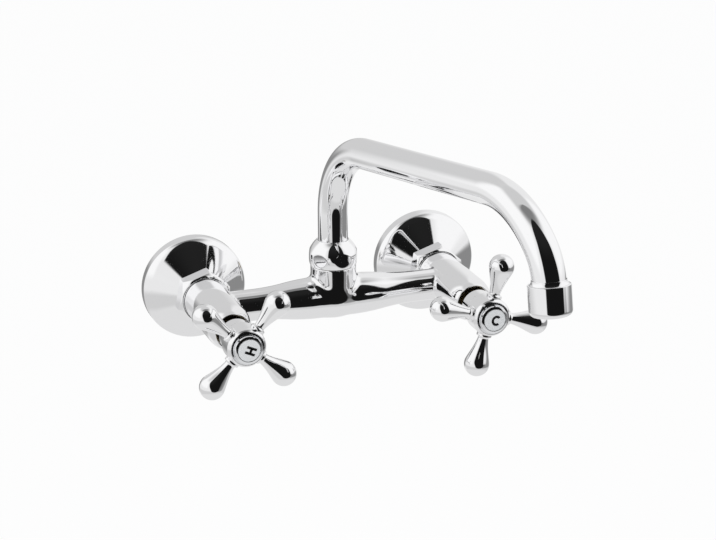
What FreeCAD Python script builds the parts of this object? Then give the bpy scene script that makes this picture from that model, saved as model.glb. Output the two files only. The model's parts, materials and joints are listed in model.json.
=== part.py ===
import FreeCAD, Part
import math
import os

import Sketcher

# Wall-mounted bridge tap: two valve barrels joined by a cast bridge, with a swivelling tube spout.
# World frame: X from the hot side to the cold side, the wall is the plane Y = 0, the user stands at -Y,
# Z is up. The origin lies on the wall, midway between the two barrel axes.
# Pieces that sit on a barrel are drawn with their own Z along the barrel, away from the wall, so their
# heights are distances from the wall. Radii are across the barrel.

Vector = FreeCAD.Vector
Rotation = FreeCAD.Rotation
Placement = FreeCAD.Placement

DRIVING_SIZES = {
    # Whole tap
    "inlet_pitch": 150.0,
    "riser_standoff": 49.2,
    "seat_gap": 0.2,
    "thread_clearance": 0.05,
    "running_clearance": 0.06,
    # Wall flange
    "flange_radius": 32.0,
    "flange_rim": 6.2,
    "flange_round": 1.8,
    "flange_depth": 20.3,
    "flange_neck_wall": 2.72,
    "flange_flare": 34.0,
    "flange_wall": 1.2,
    "flange_thread": 8.0,
    # Eccentric union
    "tail_thread_radius": 10.48,
    "tail_length": 15.0,
    "tail_bore": 7.0,
    "union_offset": 10.0,
    "union_neck_radius": 11.6,
    "union_taper": 9.0,
    "union_thread_radius": 13.22,
    "union_bore": 9.3,
    # Union nut, washer and inlet nipple
    "nut_wall": 1.73,
    "nut_turn": 48.6,
    "nut_shoulder": 2.0,
    "nut_face_rim": 0.83,
    "nut_dome_height": 2.6,
    "washer_thickness": 2.0,
    "washer_bore": 8.5,
    "nipple_lip": 1.8,
    "nipple_radius": 11.0,
    "nipple_engagement": 7.0,
    "nipple_key_flats": 12.0,
    # Barrel
    "barrel_start": 31.2,
    "barrel_radius": 13.5,
    "barrel_shoulder_start": 79.5,
    "barrel_end": 90.5,
    "barrel_mouth_radius": 10.9,
    "mouth_recess_radius": 9.45,
    "mouth_recess_depth": 8.0,
    "chamber_radius": 9.0,
    "seat_wall_start": 40.0,
    "seat_wall": 2.5,
    "seat_rise": 1.0,
    "seat_bore": 4.5,
    "seat_lip": 1.4,
    # Bridge
    "crown_radius": 13.3,
    "crown_half_length": 12.0,
    "arm_radius": 9.5,
    "arm_sweep_end": 56.0,
    "elbow_inner_radius": 5.8,
    "elbow_inset": 0.1,
    "arm_fillet": 2.2,
    "waterway_radius": 5.5,
    # Spout socket
    "hub_top": 20.2,
    "socket_thread_radius": 11.8,
    "socket_thread_height": 7.5,
    "socket_radius": 10.6,
    "socket_floor": 9.0,
    "socket_port_radius": 6.4,
    # Collar nut
    "collar_foot_radius": 14.0,
    "collar_band": 8.0,
    "collar_band_curve": 13.4,
    "collar_shoulder_radius": 14.9,
    "collar_dome_curve": 21.5,
    "collar_height": 15.7,
    "collar_lip_radius": 9.9,
    "collar_flats": 28.4,
    "collar_turn": 41.6,
    # Spout tube
    "rest_swivel": 9.0,
    "tube_radius": 9.0,
    "tube_wall": 1.0,
    "tube_foot": 20.5,
    "riser_top": 53.0,
    "riser_bend": 46.0,
    "run_rise": 6.4,
    "run_length": 138.5,
    "drop_bend": 63.0,
    "drop_bend_angle": 51.0,
    "tip_bend": 30.5,
    "outlet_tilt": 8.5,
    # Spout ferrule, seals and slide ring
    "ferrule_radius": 10.54,
    "ferrule_bore": 7.4,
    "ferrule_foot": 9.5,
    "ferrule_collar_radius": 11.5,
    "ferrule_collar": 1.4,
    "ring_groove": 2.4,
    "ring_groove_depth": 1.6,
    "ring_section": 1.9,
    "ring_spacing": 4.2,
    "slide_ring": 0.8,
    # Outlet
    "outlet_thread_radius": 10.5,
    "outlet_thread_length": 7.0,
    "outlet_flare": 2.5,
    "outlet_flare_radius": 10.3,
    "housing_radius": 11.4,
    "housing_length": 16.5,
    "housing_round": 2.2,
    "housing_lip_bore": 8.9,
    "housing_lip": 1.6,
    "insert_radius": 10.2,
    "insert_plate": 1.6,
    "insert_hole_radius": 1.2,
    "insert_hole_circle": 5.6,
    "insert_hole_count": 8.0,
    # Headwork bonnet
    "bonnet_thread_radius": 8.33,
    "bonnet_cage_radius": 7.8,
    "bonnet_cage_end": 52.5,
    "bonnet_thread_start": 65.0,
    "bonnet_flats": 16.0,
    "bonnet_flange": 1.2,
    "bonnet_hex": 5.0,
    "bonnet_neck_radius": 7.0,
    "bonnet_neck_end": 98.0,
    "gasket_thickness": 1.0,
    # Spindle
    "spindle_radius": 4.5,
    "spindle_thread_radius": 4.0,
    "spindle_thread_end": 53.0,
    "thrust_collar_start": 69.0,
    "thrust_collar": 2.4,
    "thrust_collar_radius": 5.6,
    "spindle_ring_start": 76.0,
    "spindle_ring_groove": 2.0,
    "spindle_ring_depth": 1.3,
    "spindle_ring_section": 1.5,
    "spindle_ring_spacing": 5.0,
    "clip_thickness": 1.0,
    "clip_groove_depth": 0.8,
    "clip_radius": 6.3,
    "square_flats": 6.2,
    "square_start": 100.5,
    "square_end": 110.0,
    # Valve piston and washer
    "piston_flats": 11.6,
    "piston_length": 12.2,
    "piston_cap": 2.0,
    "valve_washer_radius": 6.5,
    "valve_washer_thickness": 3.0,
    "valve_squeeze": 0.3,
    "valve_screw_radius": 1.5,
    "valve_screw_head": 1.2,
    "valve_screw_head_radius": 2.6,
    # Cross handle
    "hot_rest_turn": 49.0,
    "cold_rest_turn": 75.7,
    "skirt_start": 95.5,
    "skirt_radius": 10.0,
    "skirt_bore": 8.7,
    "hub_start": 105.0,
    "hub_end": 120.4,
    "hub_radius": 11.6,
    "hub_round": 1.0,
    "hub_fillet": 1.2,
    "socket_web_start": 103.6,
    "socket_web_end": 112.0,
    "button_bore": 9.85,
    "lever_plane": 114.0,
    "lever_count": 4.0,
    "lever_reach": 31.0,
    "lever_ball_radius": 7.5,
    "lever_taper": 14.5,
    "lever_root": 10.3,
    "lever_collar_end": 13.2,
    "lever_collar_radius": 4.4,
    "handle_screw_radius": 2.0,
    "handle_screw_head": 2.8,
    "handle_screw_head_radius": 4.0,
    "handle_screw_length": 8.0,
    # Index cap and disc
    "cap_start": 115.4,
    "cap_snap": 3.0,
    "cap_radius": 8.6,
    "cap_wall": 1.3,
    "cap_bevel_start": 121.2,
    "cap_end": 123.5,
    "disc_radius": 7.05,
    "disc_thickness": 0.9,
}


class Size:
    """A number together with the sheet expression that gives it."""

    def __init__(self, number, text):
        self.number = number
        self.text = text

    def __add__(self, other):
        other = as_size(other)
        return Size(self.number + other.number, f"({self.text} + {other.text})")

    def __sub__(self, other):
        other = as_size(other)
        return Size(self.number - other.number, f"({self.text} - {other.text})")

    def __mul__(self, other):
        other = as_size(other)
        return Size(self.number * other.number, f"({self.text} * {other.text})")

    def __truediv__(self, other):
        other = as_size(other)
        return Size(self.number / other.number, f"({self.text} / {other.text})")

    def __neg__(self):
        return Size(-self.number, f"(0 - {self.text})")


def as_size(value):
    if isinstance(value, Size):
        return value
    return Size(float(value), repr(float(value)))


def sine(angle):
    return Size(math.sin(math.radians(angle.number)), f"sin({angle.text})")


def cosine(angle):
    return Size(math.cos(math.radians(angle.number)), f"cos({angle.text})")


def root(value):
    return Size(math.sqrt(value.number), f"sqrt({value.text})")


def tangent(angle):
    return Size(math.tan(math.radians(angle.number)), f"tan({angle.text})")


doc = FreeCAD.newDocument("BridgeTap")
sheet = doc.addObject("Spreadsheet::Sheet", "Sizes")
for row, (alias, number) in enumerate(DRIVING_SIZES.items(), start=1):
    sheet.set(f"A{row}", str(number))
    sheet.setAlias(f"A{row}", alias)
doc.recompute()


def size(alias):
    return Size(float(sheet.get(alias)), f"Sizes.{alias}")


cuts = []


# ---------------------------------------------------------------- sketches and features


def new_body(label, base=(0, 0, 0), rotation=None):
    body = doc.addObject("PartDesign::Body", label)
    body.Label = label
    x, y, z = [as_size(value) for value in base]
    body.Placement = Placement(Vector(x.number, y.number, z.number), rotation or Rotation())
    for axis, value in zip("xyz", (x, y, z)):
        body.setExpression(f"Placement.Base.{axis}", value.text)
    return body


def origin_feature(body, role):
    return next(item for item in body.Origin.OriginFeatures if item.Role == role)


def new_sketch(body, name, plane, lift=None):
    sketch = body.newObject("Sketcher::SketchObject", f"{body.Name}_{name}")
    sketch.AttachmentSupport = [(origin_feature(body, plane), "")]
    sketch.MapMode = "FlatFace"
    if lift is not None:
        sketch.AttachmentOffset = Placement(Vector(0, 0, lift.number), Rotation())
        sketch.setExpression("AttachmentOffset.Base.z", lift.text)
    return sketch


def bind(sketch, constraint, name, text):
    index = sketch.addConstraint(constraint)
    sketch.renameConstraint(index, name)
    sketch.setExpression(f".Constraints.{name}", text)


def pin_point(sketch, name, geometry, end, x, y):
    """Hold a sketch point at its two distances from the sketch's origin."""
    if x.number == 0.0:
        sketch.addConstraint(Sketcher.Constraint("PointOnObject", geometry, end, -2))
    else:
        bind(sketch, Sketcher.Constraint("DistanceX", -1, 1, geometry, end, x.number), f"{name}x", x.text)
    if y.number == 0.0:
        sketch.addConstraint(Sketcher.Constraint("PointOnObject", geometry, end, -1))
    else:
        bind(sketch, Sketcher.Constraint("DistanceY", -1, 1, geometry, end, y.number), f"{name}y", y.text)


def add_arc(sketch, start, end, radius, turn):
    """Add the short arc from start to end. It turns left or right on its way."""
    chord = end - start
    side = 1 if turn == "left" else -1
    normal = Vector(-chord.y, chord.x, 0).normalize() * side
    rise = math.sqrt(max(radius * radius - chord.Length * chord.Length / 4, 0.0))
    centre = (start + end) * 0.5 + normal * rise
    first, last = (start, end) if turn == "left" else (end, start)
    first_angle = math.atan2(first.y - centre.y, first.x - centre.x)
    last_angle = math.atan2(last.y - centre.y, last.x - centre.x)
    if last_angle < first_angle:
        last_angle += 2 * math.pi
    circle = Part.Circle(centre, Vector(0, 0, 1), radius)
    return sketch.addGeometry(Part.ArcOfCircle(circle, first_angle, last_angle))


def draw(sketch, corners, arcs=None, closed=True):
    """Draw lines through the corners. After a corner whose index is in arcs, draw that radius and turn."""
    arcs = arcs or {}
    corners = [(as_size(x), as_size(y)) for x, y in corners]
    points = [Vector(x.number, y.number, 0) for x, y in corners]
    count = len(corners) if closed else len(corners) - 1
    ends = []
    for index in range(count):
        start, end = points[index], points[(index + 1) % len(points)]
        if index in arcs:
            radius, turn = arcs[index]
            geometry = add_arc(sketch, start, end, radius.number, turn)
            ends.append((geometry, 1, 2) if turn == "left" else (geometry, 2, 1))
        else:
            ends.append((sketch.addGeometry(Part.LineSegment(start, end)), 1, 2))
    for index in range(count if closed else count - 1):
        geometry, _, last = ends[index]
        following, first, _ = ends[(index + 1) % count]
        sketch.addConstraint(Sketcher.Constraint("Coincident", geometry, last, following, first))
    for index, (geometry, first, _) in enumerate(ends):
        pin_point(sketch, f"p{index}", geometry, first, *corners[index])
    if not closed:
        geometry, _, last = ends[-1]
        pin_point(sketch, f"p{count}", geometry, last, *corners[-1])
    for index, (radius, _) in arcs.items():
        geometry = ends[index][0]
        bind(sketch, Sketcher.Constraint("Radius", geometry, radius.number), f"r{index}", radius.text)
    return sketch


def draw_circle(sketch, x, y, radius, name="c"):
    x, y = as_size(x), as_size(y)
    geometry = sketch.addGeometry(Part.Circle(Vector(x.number, y.number, 0), Vector(0, 0, 1), radius.number))
    pin_point(sketch, name, geometry, 3, x, y)
    bind(sketch, Sketcher.Constraint("Radius", geometry, radius.number), f"{name}r", radius.text)
    return sketch


def draw_polygon(sketch, sides, flats, turn=0.0):
    """Draw a regular polygon about the sketch's origin, given its width across flats."""
    corner = flats / (2 * math.cos(math.pi / sides))
    angles = [math.radians(turn) + 2 * math.pi * (index + 0.5) / sides for index in range(sides)]
    return draw(sketch, [(corner * round(math.cos(a), 9), corner * round(math.sin(a), 9)) for a in angles])


def turned_axis(sketch, start, end):
    """Add a construction line to turn about, and name it as the feature's axis."""
    before = sum(1 for index in range(sketch.GeometryCount) if sketch.getConstruction(index))
    start = [as_size(value) for value in start]
    end = [as_size(value) for value in end]
    start_point = Vector(start[0].number, start[1].number, 0)
    end_point = Vector(end[0].number, end[1].number, 0)
    geometry = sketch.addGeometry(Part.LineSegment(start_point, end_point), True)
    pin_point(sketch, "a", geometry, 1, *start)
    pin_point(sketch, "b", geometry, 2, *end)
    return (sketch, [f"Axis{before}"])


def add_feature(body, kind, name):
    return body.newObject(f"PartDesign::{kind}", f"{body.Name}_{name}")


def turn_solid(body, name, sketch, axis=None, cut=False):
    """Revolve a sketch about its own vertical axis, or about a given one."""
    feature = add_feature(body, "Groove" if cut else "Revolution", name)
    feature.Profile = sketch
    feature.ReferenceAxis = axis or (sketch, ["V_Axis"])
    feature.Angle = 360.0
    if cut:
        cuts.append(feature)
    return feature


def extrude(body, name, sketch, length, cut=False, both_ways=False):
    feature = add_feature(body, "Pocket" if cut else "Pad", name)
    feature.Profile = sketch
    feature.Length = length.number
    feature.setExpression("Length", length.text)
    feature.Midplane = both_ways
    if cut:
        feature.Reversed = not both_ways
        cuts.append(feature)
    return feature


def turned_piece(label, corners, arcs=None, base=(0, 0, 0), rotation=None):
    """A whole piece made by one revolution of a profile given as (radius, height) corners."""
    body = new_body(label, base, rotation)
    sketch = draw(new_sketch(body, "profile", "XZ_Plane"), corners, arcs)
    turn_solid(body, "turned", sketch)
    return body


def ring(label, inner, outer, low, high, base, rotation):
    corners = [(inner, low), (outer, low), (outer, high), (inner, high)]
    return turned_piece(label, corners, None, base, rotation)


def squeezed_ring(body, name, inner, outer, low, section):
    """A rubber ring pressed in its groove: flat where it touches, bevelled at its sides."""
    bevel = section / 4
    corners = [
        (inner, low + bevel),
        (inner + bevel, low),
        (outer - bevel, low),
        (outer, low + bevel),
        (outer, low + section - bevel),
        (outer - bevel, low + section),
        (inner + bevel, low + section),
        (inner, low + section - bevel),
    ]
    return turn_solid(body, name, draw(new_sketch(body, f"{name}_profile", "XZ_Plane"), corners))


def repeat_round(body, name, features, axis, count):
    pattern = add_feature(body, "PolarPattern", name)
    pattern.Originals = features
    pattern.Axis = axis
    pattern.Angle = 360.0
    pattern.Occurrences = int(count.number)
    pattern.setExpression("Occurrences", count.text)
    body.Tip = pattern
    return pattern


def round_edges(body, name, base, radius, chosen):
    """Fillet the edges of a feature that the test picks out."""
    doc.recompute()
    edges = [f"Edge{index}" for index, edge in enumerate(base.Shape.Edges, start=1) if chosen(edge)]
    fillet = add_feature(body, "Fillet", name)
    fillet.Base = (base, edges)
    fillet.Radius = radius.number
    fillet.setExpression("Radius", radius.text)
    return fillet


# ---------------------------------------------------------------- stations along a barrel

gap = size("seat_gap")
barrel_start = size("barrel_start")
nut_front = barrel_start - gap
nut_back = size("flange_depth") + gap
lip_front = nut_front - size("nut_shoulder")
lip_back = lip_front - size("nipple_lip")
union_end = lip_back - size("washer_thickness")
thread_clearance = size("thread_clearance")
running_clearance = size("running_clearance")
barrel_x = size("inlet_pitch") / 2
seat_face = size("seat_wall_start") + size("seat_wall") + size("seat_rise")
mouth_floor = size("barrel_end") - size("mouth_recess_depth")
neck_top = size("hub_top") + size("socket_thread_height")
OUTWARDS = Rotation(Vector(1, 0, 0), 90)


def build_wall_flange(label, base):
    """Thin flared shell with a threaded sleeve in its neck. Its inside follows the outer flare."""
    radius, rim, rounding = size("flange_radius"), size("flange_rim"), size("flange_round")
    wall, depth, flare = size("flange_wall"), size("flange_depth"), size("flange_flare")
    bore = size("union_thread_radius") + running_clearance
    neck = bore + size("flange_neck_wall")
    thread_back = depth - size("flange_thread")
    edge = radius - rounding
    across, along = edge - neck, depth - rim
    chord = root(across * across + along * along)
    to_centre = root(flare * flare - chord * chord / 4) / chord
    centre = ((edge + neck) / 2 + along * to_centre, (rim + depth) / 2 + across * to_centre)
    sleeve = neck - wall
    inner_flare = flare + wall
    sleeve_front = centre[1] - root(inner_flare * inner_flare - (centre[0] - sleeve) * (centre[0] - sleeve))
    inner_edge = (edge - (centre[0] - edge) * wall / flare, rim - (centre[1] - rim) * wall / flare)
    corners = [
        (radius - wall, 0),
        (radius, 0),
        (radius, rim - rounding),
        (edge, rim),
        (neck, depth),
        (bore, depth),
        (bore, thread_back),
        (sleeve, thread_back),
        (sleeve, sleeve_front),
        inner_edge,
        (radius - wall, rim - rounding),
    ]
    arcs = {2: (rounding, "left"), 3: (flare, "right"), 8: (inner_flare, "left")}
    return turned_piece(label, corners, arcs, base, OUTWARDS)


def build_eccentric_union(label, base):
    body = new_body(label, base, OUTWARDS)
    offset, taper = size("union_offset"), size("union_taper")
    tail, neck, thread = size("tail_thread_radius"), size("union_neck_radius"), size("union_thread_radius")
    wall_circle = draw_circle(new_sketch(body, "neck", "XY_Plane"), 0, offset, neck)
    front_circle = draw_circle(new_sketch(body, "front", "XY_Plane", taper), 0, 0, thread)
    loft = add_feature(body, "AdditiveLoft", "taper")
    loft.Profile = wall_circle
    loft.Sections = [front_circle]
    tail_circle = draw_circle(new_sketch(body, "tail", "XY_Plane"), 0, offset, tail)
    tail_pad = extrude(body, "tail_thread", tail_circle, size("tail_length"))
    tail_pad.Reversed = True
    thread_circle = draw_circle(new_sketch(body, "thread", "XY_Plane", taper), 0, 0, thread)
    extrude(body, "front_thread", thread_circle, union_end - taper)
    tail_end = -size("tail_length")
    tail_way = draw_circle(new_sketch(body, "tail_way", "XY_Plane", tail_end), 0, offset, size("tail_bore"))
    extrude(body, "tail_bored", tail_way, size("tail_length"), cut=True)
    way_start = draw_circle(new_sketch(body, "way_start", "XY_Plane"), 0, offset, size("tail_bore"))
    way_end = draw_circle(new_sketch(body, "way_end", "XY_Plane", taper), 0, 0, size("union_bore"))
    bored = add_feature(body, "SubtractiveLoft", "way")
    bored.Profile = way_start
    bored.Sections = [way_end]
    cuts.append(bored)
    front_way = draw_circle(new_sketch(body, "front_way", "XY_Plane", taper), 0, 0, size("union_bore"))
    extrude(body, "front_bored", front_way, union_end - taper, cut=True)
    return body


def build_union_nut(label, base):
    body = new_body(label, base, OUTWARDS)
    bore = size("union_thread_radius") + thread_clearance
    flats = (bore + size("nut_wall")) * 2
    turn = size("nut_turn").number
    outline = draw_polygon(new_sketch(body, "outline", "XY_Plane", nut_back), 6, flats, turn)
    extrude(body, "hexagon", outline, nut_front - nut_back)
    corner = flats / math.sqrt(3)
    face, dome = bore + size("nut_face_rim"), size("nut_dome_height")
    outside = corner + 1
    flats_end = nut_front - dome
    chamfer = [(face, nut_front), (outside, nut_front), (outside, flats_end), (corner, flats_end)]
    turn_solid(body, "dome", draw(new_sketch(body, "dome_profile", "XZ_Plane"), chamfer), cut=True)
    hole = size("nipple_radius") + running_clearance
    bored = [(0, nut_back), (bore, nut_back), (bore, lip_front)]
    bored += [(hole, lip_front), (hole, nut_front), (0, nut_front)]
    turn_solid(body, "bored", draw(new_sketch(body, "bore_profile", "XZ_Plane"), bored), cut=True)
    return body


def build_inlet_nipple(label, base):
    lip = size("union_thread_radius") - 0.3
    tube = size("nipple_radius")
    end = barrel_start + size("nipple_engagement")
    body = new_body(label, base, OUTWARDS)
    corners = [(0, lip_back), (lip, lip_back), (lip, lip_front), (tube, lip_front), (tube, end), (0, end)]
    turn_solid(body, "turned", draw(new_sketch(body, "profile", "XZ_Plane"), corners))
    key = draw_polygon(new_sketch(body, "key", "XY_Plane", lip_back), 6, size("nipple_key_flats"))
    extrude(body, "key_way", key, end - lip_back, cut=True)
    return body


def build_bonnet(label, base):
    """Headwork body: a hexagonal cage below for the piston, a thread, a spanner hexagon and a neck above."""
    body = new_body(label, base, OUTWARDS)
    cage, thread = size("bonnet_cage_radius"), size("bonnet_thread_radius")
    low, thread_start = size("bonnet_cage_end"), size("bonnet_thread_start")
    hex_start = mouth_floor + size("gasket_thickness")
    hex_end = hex_start + size("bonnet_hex")
    neck, top = size("bonnet_neck_radius"), size("bonnet_neck_end")
    flange = size("mouth_recess_radius") - gap
    corners = [
        (0, low),
        (cage, low),
        (cage, thread_start),
        (thread, thread_start),
        (thread, hex_start),
        (flange, hex_start),
        (flange, hex_start + size("bonnet_flange")),
        (neck, hex_end),
        (neck, top),
        (0, top),
    ]
    turn_solid(body, "turned", draw(new_sketch(body, "profile", "XZ_Plane"), corners))
    outline = draw_polygon(new_sketch(body, "spanner", "XY_Plane", hex_start), 6, size("bonnet_flats"))
    extrude(body, "spanner_hexagon", outline, size("bonnet_hex"))
    collar_floor = size("thrust_collar_start")
    cage_way = draw_polygon(
        new_sketch(body, "cage", "XY_Plane", low), 6, size("piston_flats") + running_clearance * 2
    )
    extrude(body, "cage_way", cage_way, collar_floor - low, cut=True)
    collar_bore = size("thrust_collar_radius") + running_clearance
    collar_roof = collar_floor + size("thrust_collar") + gap
    stem = size("spindle_radius") + running_clearance
    way = [(0, collar_floor - gap), (collar_bore, collar_floor - gap), (collar_bore, collar_roof)]
    way += [(stem, collar_roof), (stem, top), (0, top)]
    turn_solid(body, "stem_way", draw(new_sketch(body, "stem", "XZ_Plane"), way), cut=True)
    return body


def spindle_ring_places():
    start = size("spindle_ring_start")
    return [start, start + size("spindle_ring_spacing")]


def build_spindle(label, base, rotation):
    body = new_body(label, base, rotation)
    thread, stem = size("spindle_thread_radius"), size("spindle_radius")
    collar, collar_start = size("thrust_collar_radius"), size("thrust_collar_start")
    collar_end = collar_start + size("thrust_collar")
    shank_end = size("square_start")
    corners = [
        (0, size("spindle_thread_end")),
        (thread, size("spindle_thread_end")),
        (thread, collar_start),
        (collar, collar_start),
        (collar, collar_end),
        (stem, collar_end),
        (stem, shank_end),
        (0, shank_end),
    ]
    turn_solid(body, "turned", draw(new_sketch(body, "profile", "XZ_Plane"), corners))
    square = draw_polygon(new_sketch(body, "square", "XY_Plane", shank_end), 4, size("square_flats"))
    extrude(body, "square_end", square, size("square_end") - shank_end)
    depth, width = size("spindle_ring_depth"), size("spindle_ring_groove")
    for index, low in enumerate(spindle_ring_places()):
        corners = [(stem - depth, low), (stem + 1, low), (stem + 1, low + width), (stem - depth, low + width)]
        groove = draw(new_sketch(body, f"ring_{index}", "XZ_Plane"), corners)
        turn_solid(body, f"ring_groove_{index}", groove, cut=True)
    clip_low = size("bonnet_neck_end") + gap
    clip_high = clip_low + size("clip_thickness") + running_clearance
    floor = stem - size("clip_groove_depth")
    corners = [(floor, clip_low), (stem + 1, clip_low), (stem + 1, clip_high), (floor, clip_high)]
    turn_solid(body, "clip_groove", draw(new_sketch(body, "clip_seat", "XZ_Plane"), corners), cut=True)
    tapped = size("handle_screw_radius") + thread_clearance
    depth = size("handle_screw_length")
    corners = [(0, size("square_end") - depth), (tapped, size("square_end") - depth)]
    corners += [(tapped, size("square_end")), (0, size("square_end"))]
    turn_solid(body, "tapped", draw(new_sketch(body, "tapping", "XZ_Plane"), corners), cut=True)
    return body


def build_spindle_rings(label, base, rotation):
    body = new_body(label, base, rotation)
    inner = size("spindle_radius") - size("spindle_ring_depth") + running_clearance
    slack = (size("spindle_ring_groove") - size("spindle_ring_section")) / 2
    for index, low in enumerate(spindle_ring_places()):
        section = size("spindle_ring_section")
        squeezed_ring(body, f"ring_{index}", inner, size("spindle_radius"), low + slack, section)
    return body


def build_valve_piston(label, base):
    body = new_body(label, base, OUTWARDS)
    low = seat_face + size("valve_squeeze") + size("valve_washer_thickness")
    high = low + size("piston_length")
    outline = draw_polygon(new_sketch(body, "outline", "XY_Plane", low), 6, size("piston_flats"))
    extrude(body, "hexagon", outline, size("piston_length"))
    tapped = size("spindle_thread_radius") + running_clearance
    screw = size("valve_screw_radius") + thread_clearance
    floor = low + size("piston_cap")
    corners = [(0, low), (screw, low), (screw, floor), (tapped, floor), (tapped, high), (0, high)]
    turn_solid(body, "tapped", draw(new_sketch(body, "tapping", "XZ_Plane"), corners), cut=True)
    return body


def build_washer_screw(label, base):
    face = seat_face + size("valve_squeeze")
    head = size("valve_screw_head")
    end = face + size("valve_washer_thickness") + size("piston_cap")
    radius = size("valve_screw_radius")
    head_radius = size("valve_screw_head_radius")
    corners = [(0, face - head), (head_radius, face - head), (head_radius, face)]
    corners += [(radius, face), (radius, end), (0, end)]
    return turned_piece(label, corners, None, base, OUTWARDS)


def build_cross_handle(label, base, rotation):
    """One casting: a skirt over the bonnet's neck, a hub, and four teardrop levers."""
    body = new_body(label, base, rotation)
    skirt, skirt_start = size("skirt_radius"), size("skirt_start")
    hub, hub_start, hub_end = size("hub_radius"), size("hub_start"), size("hub_end")
    rounding, fillet = size("hub_round"), size("hub_fillet")
    corners = [
        (0, skirt_start),
        (skirt, skirt_start),
        (skirt, hub_start - fillet),
        (hub, hub_start + fillet),
        (hub, hub_end - rounding),
        (hub - rounding, hub_end),
        (0, hub_end),
    ]
    arcs = {4: (rounding, "left")}
    turn_solid(body, "turned", draw(new_sketch(body, "profile", "XZ_Plane"), corners, arcs))

    plane, reach, ball = size("lever_plane"), size("lever_reach"), size("lever_ball_radius")
    taper, root = size("lever_taper"), size("lever_root")
    collar_end, collar = size("lever_collar_end"), size("lever_collar_radius")
    blend_x = reach - ball * sine(taper)
    blend_r = ball * cosine(taper)
    neck = blend_r - (blend_x - collar_end) * tangent(taper)
    corners = [
        (root, plane),
        (root, plane + collar),
        (collar_end, plane + collar),
        (collar_end, plane + neck),
        (blend_x, plane + blend_r),
        (reach + ball, plane),
    ]
    arcs = {4: (ball, "right")}
    sketch = draw(new_sketch(body, "lever_profile", "XZ_Plane"), corners, arcs)
    axis = turned_axis(sketch, (root, plane), (reach, plane))
    lever = turn_solid(body, "lever", sketch, axis)
    repeat_round(body, "levers", [lever], (origin_feature(body, "Z_Axis"), [""]), size("lever_count"))

    web_start, web_end = size("socket_web_start"), size("socket_web_end")
    screw = size("handle_screw_radius") + thread_clearance * 3
    bore, button = size("skirt_bore"), size("button_bore")
    corners = [(0, skirt_start), (bore, skirt_start), (bore, web_start), (0, web_start)]
    turn_solid(body, "skirt_bored", draw(new_sketch(body, "skirt", "XZ_Plane"), corners), cut=True)
    corners = [(0, web_end), (button, web_end), (button, hub_end), (0, hub_end)]
    turn_solid(body, "button_bored", draw(new_sketch(body, "button", "XZ_Plane"), corners), cut=True)
    square_top = size("square_end") + gap
    square = draw_polygon(
        new_sketch(body, "broach", "XY_Plane", web_start), 4, size("square_flats") + running_clearance * 2
    )
    extrude(body, "broached", square, square_top - web_start, cut=True)
    corners = [(0, square_top), (screw, square_top), (screw, web_end), (0, web_end)]
    turn_solid(body, "screw_hole", draw(new_sketch(body, "screw", "XZ_Plane"), corners), cut=True)
    return body


def build_handle_screw(label, base, rotation):
    face = size("socket_web_end")
    head, radius = size("handle_screw_head"), size("handle_screw_radius")
    head_radius = size("handle_screw_head_radius")
    end = size("square_end") - size("handle_screw_length") + gap
    corners = [(0, end), (radius, end), (radius, face), (head_radius, face), (head_radius, face + head)]
    corners += [(0, face + head)]
    return turned_piece(label, corners, None, base, rotation)


def build_index_cap(label, base, rotation):
    """Snap-in button: a wide foot in the hub's bore, a groove's width of air, and a bevelled ring."""
    foot, start = size("button_bore") - running_clearance, size("cap_start")
    snap_end = start + size("cap_snap")
    radius, wall = size("cap_radius"), size("cap_wall")
    pocket = size("disc_radius") + running_clearance
    top, floor = size("cap_end"), size("cap_end") - size("disc_thickness")
    corners = [
        (radius - wall, start),
        (foot, start),
        (foot, snap_end),
        (radius, snap_end),
        (radius, size("cap_bevel_start")),
        (pocket + 0.15, top),
        (pocket, top),
        (pocket, floor),
        (0, floor),
        (0, floor - wall),
        (radius - wall, floor - wall),
    ]
    return turned_piece(label, corners, None, base, rotation)


def build_index_disc(label, base, rotation):
    radius, top = size("disc_radius"), size("cap_end")
    low = top - size("disc_thickness")
    corners = [(0, low), (radius, low), (radius, top), (0, top)]
    return turned_piece(label, corners, None, base, rotation)


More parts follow.
